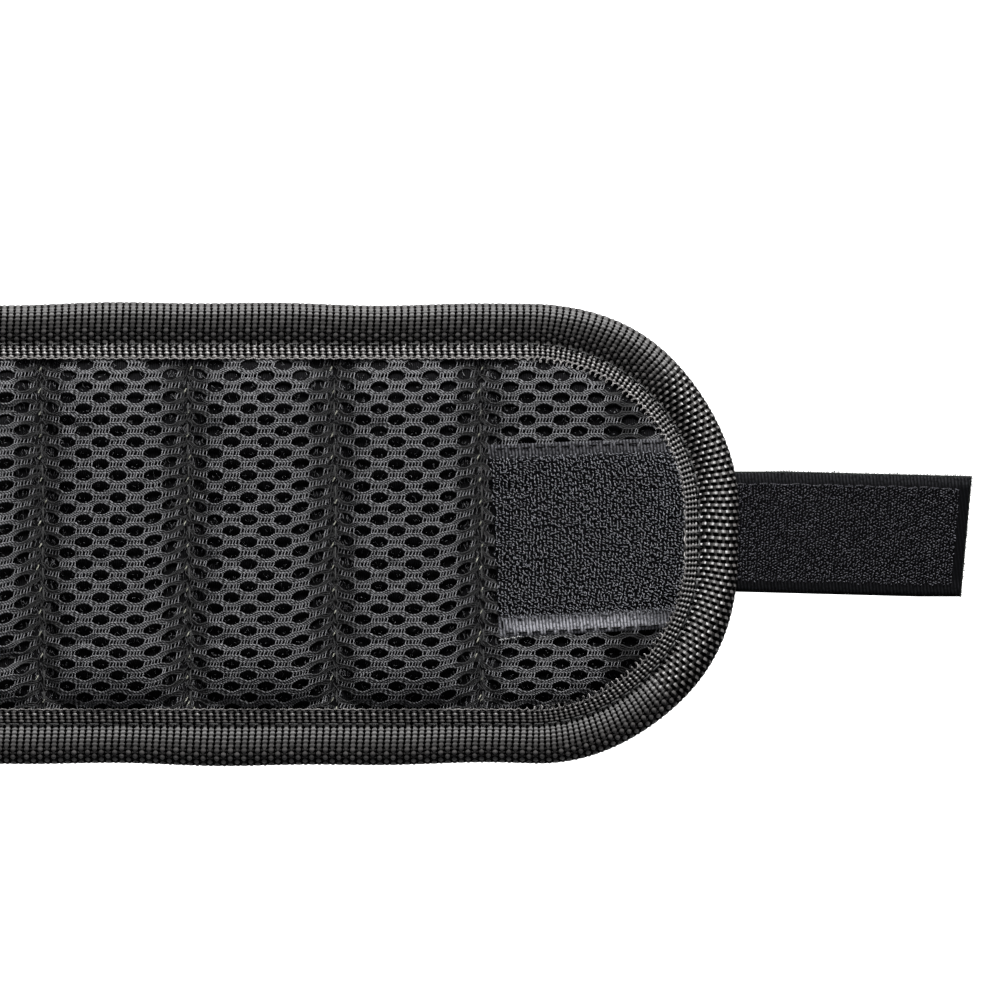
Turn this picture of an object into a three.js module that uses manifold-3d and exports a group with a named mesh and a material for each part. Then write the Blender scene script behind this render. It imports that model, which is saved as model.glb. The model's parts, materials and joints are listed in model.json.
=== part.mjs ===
// Magnetic wristband, lying flat with its padded wrist side up. Millimetres, +Z up.
// +X runs along the band to the closing tab. Z 0 is the lowest line of the edge binding.
// The band folds along its stitched seams: two rounded ends, five magnet pockets and the tab.
import * as THREE from 'three';
import { mergeVertices } from 'three/addons/utils/BufferGeometryUtils.js';
import Module from 'manifold-3d';

const wasm = await Module();
wasm.setup();

// Band outline
const bandWidth = 90;
const pocketPitch = 28.5;
const pocketCount = 5;
const loopPocketCount = 2;
const endLength = 50.7;
const cornerRadius = 41;
const cornerSteps = 10;
const coveredCornerSteps = 6;

// Closing tab, sewn to the outer face and passing under the binding
const tabReach = 45.4;
const tabWidth = 24.5;
const tabRootLength = 24;
const tabFoldDistance = 5.2;
const tabHookThickness = 0.85;
const tabBackingThickness = 0.65;
const tabBackingBorder = 0.8;
const tabSideDrop = 1.1;
const tabEndSlant = 2;

// Cloth layers, from the outer face up to the wrist
const layerGap = 0.1;
const loopPatchThickness = 1.6;
const loopPatchWidth = 50;
const loopPatchInset = 10;
const outerClothThickness = 0.8;
const liningThickness = 4.2;
const pressedLiningThickness = 2.5;
const sewnLiningThickness = 0.6;

// Edge binding: a woven tape folded round the edges of cloth and lining
const bindingWidth = 10.7;
const bindingTape = 1.15;
const bindingWall = 1.6;
const bindingFit = 0.15;
const edgeClearance = 0.3;

// Magnet discs in their carrier sheet, and the bulge of the outer cloth that holds them
const magnetDiameter = 15;
const magnetThickness = 2;
const magnetsPerPocket = 3;
const magnetSides = 20;
const magnetClearance = 0.3;
const carrierClearance = 0.5;
const seamFlat = 1;
const bulgeSlope = 2.75;

// Hook patch on the wrist side of the right end
const hookPatchThickness = 0.9;
const hookPatchWidth = 38;
const hookPatchFromSeam = 2.6;

// Crown of the lining, and its lens-shaped mesh holes, drawn larger and fewer than the real ones
const crownReach = 12;
const endCrownReach = 8;
const meshHolesPerPocket = 3;
const meshRowPitch = 5.2;
const meshHoleLength = 5.6;
const meshHoleWidth = 3;
const meshHoleDepth = 1.4;
const meshHoleMargin = 0.7;

// Folds: the half gap at each fold line, and the angles that the folds have room for
const foldGap = 0.2;
const foldMarginDegrees = 1.5;
const seamClosingDegrees = [82, 60, 45, 45, 60, 68];
const seamOpeningDegrees = 15;
const tabClosingDegrees = 82;
const tabOpeningDegrees = 60;

// Cuts run past the faces that they open by this much
const overrun = 2;
const weldDistance = 0.0001;

// Places that follow from the sizes above
const bandLength = 2 * endLength + pocketCount * pocketPitch;
const bandLeft = -(bandLength + tabReach) / 2;
const halfWidth = bandWidth / 2;
const halfPitch = pocketPitch / 2;
const endStraight = halfWidth - cornerRadius;
const patchTop = layerGap + loopPatchThickness;
const clothBottom = patchTop + layerGap;
const clothTop = clothBottom + outerClothThickness;
const liningBottom = clothTop + layerGap;
const sewnTop = liningBottom + sewnLiningThickness;
const seamHeight = clothBottom + outerClothThickness / 2;
const cavityBottom = clothBottom - bindingFit;
const cavityTop = sewnTop + bindingFit;
const layerInset = bindingWall + edgeClearance;
const openInset = bindingWidth + edgeClearance;
const bulgeInset = openInset + bulgeSlope;
const carrierLength = pocketPitch - 2 * (seamFlat + bulgeSlope + carrierClearance);
const carrierWidth = bandWidth - 2 * (bulgeInset + carrierClearance);
const magnetSpacing = carrierWidth / magnetsPerPocket;
const tabTop = layerGap + tabBackingThickness + layerGap + tabHookThickness;
const tabFoldHeight = (layerGap + tabTop) / 2;
const tabSides = [-tabWidth / 2, tabWidth / 2];
const notchReach = clothTop + magnetThickness + liningThickness + overrun;

// Shapes of the binding's legs: across its width from the edge, and in depth from its hollow
const lowerLegShares = [[1, 0.42], [0.9, 0.67], [0.766, 0.42], [0.645, 0.79], [0.467, 1], [0.243, 1],
  [0.112, 0.79], [0.033, 0.33]];
const upperLegShares = [[0.028, -0.22], [0.103, 0.52], [0.243, 0.957], [0.393, 1], [0.542, 0.87],
  [0.673, 0.57], [0.766, 0.3], [0.841, 0.61], [0.925, 0.7], [1, 0.39]];
const rampShares = [0, 1 / 3, 2 / 3, 1];
const riseShares = [0, 0.28, 0.62, 1];
const lensShares = [[1, 0], [0.5, 1], [-0.5, 1], [-1, 0], [-0.5, -1], [0.5, -1]];
const hookPatchAlongShares = [0, 0.09, 0.2, 0.6, 0.7, 0.78, 0.86, 0.93, 1];
const hookPatchAcrossShares = [1, 0.85, 0.7, 0.5, 0.25];

// Finishes
const finish = (color, roughness) => () => new THREE.MeshStandardMaterial({ color, roughness, metalness: 0 });
const finishes = {
  outerCloth: finish(0x17171a, 0.85),
  lining: finish(0x2b2b2e, 0.9),
  binding: finish(0x242322, 0.7),
  loopPile: finish(0x1b1b1e, 0.95),
  hookTape: finish(0x23262e, 0.8),
  tabTape: finish(0x101012, 0.8),
  felt: finish(0x3a3a3c, 0.95),
  magnet: () => new THREE.MeshStandardMaterial({ color: 0xb8babd, roughness: 0.3, metalness: 1 }),
};

const radians = THREE.MathUtils.degToRad;

// Solids from closed geometries, and back
function solidOf(geometry) {
  const bare = geometry.clone();
  bare.deleteAttribute('normal');
  bare.deleteAttribute('uv');
  const welded = mergeVertices(bare, weldDistance);
  return new wasm.Manifold(new wasm.Mesh({
    numProp: 3,
    vertProperties: Float32Array.from(welded.attributes.position.array),
    triVerts: Uint32Array.from(welded.index.array),
  }));
}

function geometryOf(solid) {
  const { numProp, vertProperties, triVerts } = solid.getMesh();
  const geometry = new THREE.BufferGeometry();
  geometry.setAttribute('position', new THREE.BufferAttribute(vertProperties, numProp));
  geometry.setIndex(new THREE.BufferAttribute(triVerts, 1));
  geometry.computeVertexNormals();
  return geometry;
}

function pieceOf(name, solid, makeFinish) {
  const mesh = new THREE.Mesh(geometryOf(solid), makeFinish());
  mesh.name = name;
  return mesh;
}

function closedSolid(positions, triangles) {
  const geometry = new THREE.BufferGeometry();
  geometry.setAttribute('position', new THREE.Float32BufferAttribute(positions, 3));
  geometry.setIndex(triangles);
  return solidOf(geometry);
}

function box(xFrom, xTo, yFrom, yTo, zFrom, zTo) {
  const geometry = new THREE.BoxGeometry(xTo - xFrom, yTo - yFrom, zTo - zFrom);
  geometry.translate((xFrom + xTo) / 2, (yFrom + yTo) / 2, (zFrom + zTo) / 2);
  return solidOf(geometry);
}

function upright(points, bottom, top) {
  const shape = new THREE.Shape(points.map(([x, y]) => new THREE.Vector2(x, y)));
  const geometry = new THREE.ExtrudeGeometry(shape, { depth: top - bottom, bevelEnabled: false });
  geometry.translate(0, 0, bottom);
  return solidOf(geometry);
}

function disc(x, y, diameter, bottom, top) {
  const geometry = new THREE.CylinderGeometry(diameter / 2, diameter / 2, top - bottom, magnetSides);
  geometry.rotateX(Math.PI / 2);
  geometry.translate(x, y, (bottom + top) / 2);
  return solidOf(geometry);
}

// A sheet between two height functions, over a grid of places
function sheet(us, vs, place, lower, upper) {
  const positions = [];
  for (const height of [lower, upper]) {
    for (const u of us) {
      for (const v of vs) {
        const [x, y] = place(u, v);
        positions.push(x, y, height(x, y));
      }
    }
  }
  const at = (layer, i, j) => (layer * us.length + i) * vs.length + j;
  const triangles = [];
  const quad = (a, b, c, d) => triangles.push(a, b, c, a, c, d);
  const lastU = us.length - 1;
  const lastV = vs.length - 1;
  for (let i = 0; i < lastU; i++) {
    for (let j = 0; j < lastV; j++) {
      quad(at(0, i, j), at(0, i, j + 1), at(0, i + 1, j + 1), at(0, i + 1, j));
      quad(at(1, i, j), at(1, i + 1, j), at(1, i + 1, j + 1), at(1, i, j + 1));
    }
    quad(at(0, i, 0), at(0, i + 1, 0), at(1, i + 1, 0), at(1, i, 0));
    quad(at(0, i + 1, lastV), at(0, i, lastV), at(1, i, lastV), at(1, i + 1, lastV));
  }
  for (let j = 0; j < lastV; j++) {
    quad(at(0, 0, j + 1), at(0, 0, j), at(1, 0, j), at(1, 0, j + 1));
    quad(at(0, lastU, j), at(0, lastU, j + 1), at(1, lastU, j + 1), at(1, lastU, j));
  }
  return closedSolid(positions, triangles);
}

// The room that a fold needs: a wedge open upwards for closing, and one open downwards for opening
function foldNotch(x, height, closingDegrees, openingDegrees) {
  const slopeUp = Math.tan(radians(closingDegrees / 2 + foldMarginDegrees));
  const slopeDown = Math.tan(radians(openingDegrees / 2 + foldMarginDegrees));
  const half = (reach, slope) => foldGap + reach * slope;
  const profile = [
    [x - half(notchReach, slopeUp), height + notchReach],
    [x - foldGap, height],
    [x - half(notchReach, slopeDown), height - notchReach],
    [x + half(notchReach, slopeDown), height - notchReach],
    [x + foldGap, height],
    [x + half(notchReach, slopeUp), height + notchReach],
  ];
  const shape = new THREE.Shape(profile.map(([across, up]) => new THREE.Vector2(across, up)));
  const length = bandWidth + 2 * overrun;
  const geometry = new THREE.ExtrudeGeometry(shape, { depth: length, bevelEnabled: false });
  geometry.rotateX(Math.PI / 2);
  geometry.translate(0, length / 2, 0);
  return solidOf(geometry);
}

const seamNotch = (x, seam) => foldNotch(x, seamHeight, seamClosingDegrees[seam], seamOpeningDegrees);
const tabNotch = (x) => foldNotch(x, tabFoldHeight, tabClosingDegrees, tabOpeningDegrees);

// The binding's section: [distance in from the band's edge, height]
function bindingSection() {
  const lowerLeg = ([across, depth]) => [across * bindingWidth, cavityBottom * (1 - depth)];
  const upperLeg = ([across, rise]) => [across * bindingWidth, cavityTop + rise * bindingTape];
  const hollow = [
    [bindingWidth, cavityTop],
    [bindingWall, cavityTop],
    [bindingWall, cavityBottom],
    [bindingWidth, cavityBottom],
  ];
  return [...lowerLegShares.map(lowerLeg), [0, seamHeight], ...upperLegShares.map(upperLeg), ...hollow];
}

// Sweeps the binding's section along stations on the band's edge, each with its inward direction
function sweptBinding(stations) {
  const section = bindingSection();
  const positions = [];
  for (const { x, y, inX, inY } of stations) {
    for (const [inset, z] of section) {
      positions.push(x + inX * inset, y + inY * inset, z);
    }
  }
  const count = section.length;
  const triangles = [];
  for (let station = 0; station + 1 < stations.length; station++) {
    for (let i = 0; i < count; i++) {
      const a = station * count + i;
      const b = station * count + (i + 1) % count;
      triangles.push(a, b, a + count, b, b + count, a + count);
    }
  }
  const outline = section.map(([inset, z]) => new THREE.Vector2(inset, z));
  const lastRing = (stations.length - 1) * count;
  for (const [a, b, c] of THREE.ShapeUtils.triangulateShape(outline, [])) {
    triangles.push(a, b, c, lastRing + a, lastRing + c, lastRing + b);
  }
  return closedSolid(positions, triangles);
}

// Stations for a straight stretch on one side, back (+1) or front (-1)
function straightStations(from, to, side) {
  const [first, second] = side > 0 ? [from, to] : [to, from];
  return [first, second].map((x) => ({ x, y: side * halfWidth, inX: 0, inY: -side }));
}

// Stations round an end, whose seam lies at x 0 and whose tip lies at x endLength
function endStations() {
  const stations = [{ x: 0, y: halfWidth, inX: 0, inY: -1 }];
  for (const side of [1, -1]) {
    for (let step = 0; step <= cornerSteps; step++) {
      const turned = side > 0 ? cornerSteps - step : -step;
      const angle = (Math.PI / 2) * (turned / cornerSteps);
      const [outX, outY] = [Math.cos(angle), Math.sin(angle)];
      stations.push({
        x: endLength - cornerRadius + cornerRadius * outX,
        y: side * endStraight + cornerRadius * outY,
        inX: -outX,
        inY: -outY,
      });
    }
  }
  stations.push({ x: 0, y: -halfWidth, inX: 0, inY: 1 });
  return stations;
}

// Distance in from the edge of an end, for a place in that end's own frame
function insetInEnd(x, y) {
  const intoCorner = x - (endLength - cornerRadius);
  const pastStraight = Math.abs(y) - endStraight;
  if (intoCorner > 0 && pastStraight > 0) {
    return cornerRadius - Math.hypot(intoCorner, pastStraight);
  }
  return Math.min(endLength - x, halfWidth - Math.abs(y));
}

// Grid columns along an end, set in from its edge, and the half width of the outline at each
function endColumns(inset, extra) {
  const radius = cornerRadius - inset;
  const columns = [0, ...extra];
  for (let step = 0; step <= coveredCornerSteps; step++) {
    const angle = (Math.PI / 2) * (step / coveredCornerSteps);
    columns.push(endLength - cornerRadius + radius * Math.sin(angle));
  }
  return [...new Set(columns)].sort((a, b) => a - b);
}

function endHalfWidth(x, inset) {
  const radius = cornerRadius - inset;
  const intoCorner = Math.min(Math.max(x - (endLength - cornerRadius), 0), radius);
  return endStraight + Math.sqrt(radius ** 2 - intoCorner ** 2);
}

// Share of its full height that a padded sheet has reached at a distance from where it is sewn
function crownRise(distance, reach) {
  const left = 1 - Math.min(Math.max(distance / reach, 0), 1);
  return 1 - left ** 2;
}

function ramp(distance, reach) {
  const along = Math.min(Math.max(distance / reach, 0), 1);
  return along * along * (3 - 2 * along);
}

const mirrored = (places) => [...places.map((place) => -place), ...places].sort((a, b) => a - b);

// Lens-shaped holes in staggered rows, pressed into the lining's upper face
function meshHoles(xCentre, columnsEachWay, topAt, allowed) {
  const pitch = pocketPitch / meshHolesPerPocket;
  const lens = lensShares.map(([along, across]) => [along * meshHoleLength / 2, across * meshHoleWidth / 2]);
  const rowsEachWay = Math.floor((halfWidth - openInset) / meshRowPitch);
  const holes = [];
  for (let row = -rowsEachWay; row <= rowsEachWay; row++) {
    const shift = row % 2 === 0 ? 0 : pitch / 2;
    for (let column = -columnsEachWay; column <= columnsEachWay; column++) {
      const x = xCentre + column * pitch + shift;
      const y = row * meshRowPitch;
      if (allowed(x, y)) {
        const top = topAt(x, y);
        const floor = Math.max(top - meshHoleDepth, sewnTop);
        holes.push(upright(lens.map(([dx, dy]) => [x + dx, y + dy]), floor, top + overrun));
      }
    }
  }
  return holes;
}

const cutFrom = (solid, cutters) => cutters.reduce((left, cutter) => left.subtract(cutter), solid);

const onPlan = (x, y) => [x, y];
const clothEdge = halfWidth - layerInset;

// The outer cloth of a pocket bulges outwards round the magnets, unless a loop patch holds it flat
function pocketCloth(bulgeDepth) {
  const bulge = (x, y) => bulgeDepth
    * ramp(halfPitch - seamFlat - Math.abs(x), bulgeSlope)
    * ramp(halfWidth - openInset - Math.abs(y), bulgeSlope);
  const slopes = bulgeDepth > 0 ? rampShares : [];
  const slopeColumns = slopes.map((share) => halfPitch - seamFlat - share * bulgeSlope);
  const slopeRows = slopes.map((share) => halfWidth - openInset - share * bulgeSlope);
  return sheet(
    mirrored([halfPitch, ...slopeColumns]),
    mirrored([clothEdge, ...slopeRows]),
    onPlan,
    (x, y) => clothBottom - bulge(x, y),
    (x, y) => clothTop - bulge(x, y),
  );
}

// The carrier sheet and its magnets lie on the cloth inside a pocket
const magnetPlaces = [...Array(magnetsPerPocket).keys()]
  .map((place) => (place - (magnetsPerPocket - 1) / 2) * magnetSpacing);

function carrierBox(border, bottom, top) {
  const [along, across] = [carrierLength / 2 + border, carrierWidth / 2 + border];
  return box(-along, along, -across, across, bottom, top);
}

function magnetCarrier(bottom, top) {
  const socketDiameter = magnetDiameter + 2 * magnetClearance;
  const sockets = magnetPlaces.map((y) => disc(0, y, socketDiameter, bottom - overrun, top + overrun));
  return cutFrom(carrierBox(0, bottom, top), sockets);
}

// The lining of a pocket is sewn down at its seams and under the binding, and crowned between them
function pocketLining(carrierTop) {
  const riseLength = halfPitch - seamFlat;
  const crownTop = carrierTop + layerGap + liningThickness;
  const topAt = (x, y) => sewnTop + (crownTop - sewnTop)
    * crownRise(riseLength - Math.abs(x), riseLength)
    * crownRise(halfWidth - openInset - Math.abs(y), crownReach);
  const riseColumns = riseShares.slice(0, -1).map((share) => riseLength * (1 - share));
  const riseRows = riseShares.map((share) => halfWidth - openInset - share * crownReach);
  const padding = sheet(
    [...mirrored([halfPitch, ...riseColumns]), 0].sort((a, b) => a - b),
    mirrored([clothEdge, ...riseRows]),
    onPlan,
    () => liningBottom,
    topAt,
  );
  const alongLimit = riseLength - meshHoleLength / 2 - meshHoleMargin;
  const acrossLimit = halfWidth - openInset - meshHoleWidth / 2 - meshHoleMargin;
  const allowed = (x, y) => Math.abs(x) <= alongLimit && Math.abs(y) <= acrossLimit;
  const holes = meshHoles(0, meshHolesPerPocket, topAt, allowed);
  const magnetRoom = carrierBox(carrierClearance, liningBottom - overrun, carrierTop + layerGap);
  return cutFrom(padding, [magnetRoom, ...holes]);
}

// One magnet pocket, with its centre at x 0 of its own frame
function makePocket(index) {
  const name = `pocket_${index + 1}`;
  const flatOutside = index < loopPocketCount;
  const bulgeDepth = flatOutside ? 0 : clothBottom - layerGap;
  const carrierBottom = clothTop - bulgeDepth + layerGap;
  const carrierTop = carrierBottom + magnetThickness;
  const notches = [seamNotch(-halfPitch, index), seamNotch(halfPitch, index + 1)];
  const group = new THREE.Group();
  group.position.x = bandLeft + endLength + halfPitch + index * pocketPitch;

  const add = (piece, solid, makeFinish) => group.add(pieceOf(`${name}_${piece}`, solid, makeFinish));
  add('outer_cloth', cutFrom(pocketCloth(bulgeDepth), notches), finishes.outerCloth);
  add('magnet_carrier', magnetCarrier(carrierBottom, carrierTop), finishes.felt);
  magnetPlaces.forEach((y, place) => {
    add(`magnet_${place + 1}`, disc(0, y, magnetDiameter, carrierBottom, carrierTop), finishes.magnet);
  });
  add('mesh_lining', cutFrom(pocketLining(carrierTop), notches), finishes.lining);
  for (const [side, place] of [[1, 'back'], [-1, 'front']]) {
    const tape = sweptBinding(straightStations(-halfPitch, halfPitch, side));
    add(`edge_binding_${place}`, cutFrom(tape, notches), finishes.binding);
  }
  if (flatOutside) {
    const half = loopPatchWidth / 2;
    const patch = box(-halfPitch, halfPitch, -half, half, layerGap, patchTop);
    add('loop_patch', cutFrom(patch, notches), finishes.loopPile);
  }
  return group;
}

// Places on an end, by distance from its seam and share of its half width, set in from its edge
const onEnd = (inset) => (x, acrossShare) => [x, acrossShare * endHalfWidth(x, inset)];

function endLayer(bottom, top) {
  return sheet(endColumns(layerInset, []), [-1, 1], onEnd(layerInset), () => bottom, () => top);
}

// Height of the lining's upper face on an end, which is crowned up to crownTop inside its edges
const endLiningTop = (crownTop) => (x, y) => sewnTop + (crownTop - sewnTop)
  * crownRise(x - seamFlat, endCrownReach)
  * crownRise(insetInEnd(x, y) - openInset, endCrownReach);

function endLining(topAt, allowed) {
  const seamColumns = riseShares.map((share) => seamFlat + share * endCrownReach);
  const tipColumns = riseShares.slice(1).map((share) => endLength - openInset - share * endCrownReach);
  const crown = sheet(
    endColumns(openInset, [...seamColumns, ...tipColumns]),
    mirrored(riseShares.map((share) => 1 - share * endCrownReach / (halfWidth - openInset))),
    onEnd(openInset),
    () => liningBottom,
    topAt,
  );
  const inside = (x, y) => x > seamFlat + meshHoleLength / 2 + meshHoleMargin
    && insetInEnd(x, y) > openInset + meshHoleLength / 2 && allowed(x, y);
  const padding = endLayer(liningBottom, sewnTop).add(crown);
  return cutFrom(padding, meshHoles(-halfPitch, 2 * meshHolesPerPocket, topAt, inside));
}

// The hook patch lies on the lining, from near the seam to the inner edge of the binding
function hookPatch(liningTopAt) {
  const radius = cornerRadius - openInset;
  const tipAt = (y) => {
    const pastStraight = Math.max(Math.abs(y) - endStraight, 0);
    return endLength - cornerRadius + Math.sqrt(radius ** 2 - pastStraight ** 2);
  };
  const place = (alongShare, acrossShare) => {
    const y = acrossShare * hookPatchWidth / 2;
    return [hookPatchFromSeam + alongShare * (tipAt(y) - hookPatchFromSeam), y];
  };
  const lower = (x, y) => liningTopAt(x, y) + layerGap;
  return sheet(
    hookPatchAlongShares,
    mirrored(hookPatchAcrossShares),
    place,
    lower,
    (x, y) => lower(x, y) + hookPatchThickness,
  );
}

// The left end carries the first stretch of the loop patch on its outer face
function makeLeftEnd() {
  const notch = seamNotch(0, 0);
  const group = new THREE.Group();
  group.position.x = bandLeft + endLength;
  group.rotation.z = Math.PI;

  const add = (piece, solid, makeFinish) => group.add(
    pieceOf(`left_end_${piece}`, cutFrom(solid, [notch]), makeFinish),
  );
  add('outer_cloth', endLayer(clothBottom, clothTop), finishes.outerCloth);
  add('mesh_lining', endLining(endLiningTop(liningBottom + liningThickness), () => true), finishes.lining);
  add('edge_binding', sweptBinding(endStations()), finishes.binding);
  const half = loopPatchWidth / 2;
  const patchEnd = endLength - bindingWidth - loopPatchInset;
  add('loop_patch', box(0, patchEnd, -half, half, layerGap, patchTop), finishes.loopPile);
  return group;
}

// The right end carries the hook patch on the wrist side and the tab's root on its outer face
function makeRightEnd() {
  const notch = seamNotch(0, pocketCount);
  const group = new THREE.Group();
  group.position.x = bandLeft + endLength + pocketCount * pocketPitch;

  const add = (piece, solid, makeFinish) => group.add(
    pieceOf(`right_end_${piece}`, cutFrom(solid, [notch]), makeFinish),
  );
  const topAt = endLiningTop(liningBottom + pressedLiningThickness);
  const besidePatch = (x, y) => x + meshHoleLength / 2 + meshHoleMargin < hookPatchFromSeam
    || Math.abs(y) > hookPatchWidth / 2 + meshHoleWidth / 2 + meshHoleMargin;
  add('outer_cloth', endLayer(clothBottom, clothTop), finishes.outerCloth);
  add('mesh_lining', endLining(topAt, besidePatch), finishes.lining);
  add('hook_patch', hookPatch(topAt), finishes.hookTape);
  const slotHalf = tabWidth / 2 + edgeClearance;
  const slotFrom = endLength - bindingWidth - overrun;
  const slot = box(slotFrom, endLength + overrun, -slotHalf, slotHalf, -overrun, tabTop + edgeClearance);
  add('edge_binding', sweptBinding(endStations()).subtract(slot), finishes.binding);
  const root = box(endLength - tabRootLength, endLength + tabFoldDistance, ...tabSides, layerGap, tabTop);
  add('tab_root', root.subtract(tabNotch(endLength + tabFoldDistance)), finishes.tabTape);
  return group;
}

// The tab, with its fold line at x 0 of its own frame: hook tape above, backing tape below
function makeTab() {
  const group = new THREE.Group();
  group.position.x = bandLeft + bandLength + tabFoldDistance;
  const reach = tabReach - tabFoldDistance;
  const side = tabWidth / 2;
  const planned = (border) => [
    [0, side - border],
    [reach - border, side - border - tabSideDrop],
    [reach - border - tabEndSlant, -side - tabSideDrop],
    [0, -side],
  ].reverse();
  const backing = upright(planned(0), layerGap, layerGap + tabBackingThickness);
  const hooks = upright(planned(tabBackingBorder), tabTop - tabHookThickness, tabTop);
  const notch = tabNotch(0);
  group.add(pieceOf('tab_backing_tape', backing.subtract(notch), finishes.tabTape));
  group.add(pieceOf('tab_hook_tape', hooks.subtract(notch), finishes.hookTape));
  return group;
}

const wristband = new THREE.Group();
wristband.add(makeLeftEnd());
for (let index = 0; index < pocketCount; index++) {
  wristband.add(makePocket(index));
}
wristband.add(makeRightEnd());
wristband.add(makeTab());

export default wristband;
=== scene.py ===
"""Looks of the magnetic wristband: woven edge binding, quilted spacer mesh, hook and loop tapes, stitching.

The band lies flat with its wrist side up. Its frame, the packed CAD model, gives every place and height,
and each cloth piece here crosses one stitched seam and bends there.
"""

import json
import math
from functools import lru_cache

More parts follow.
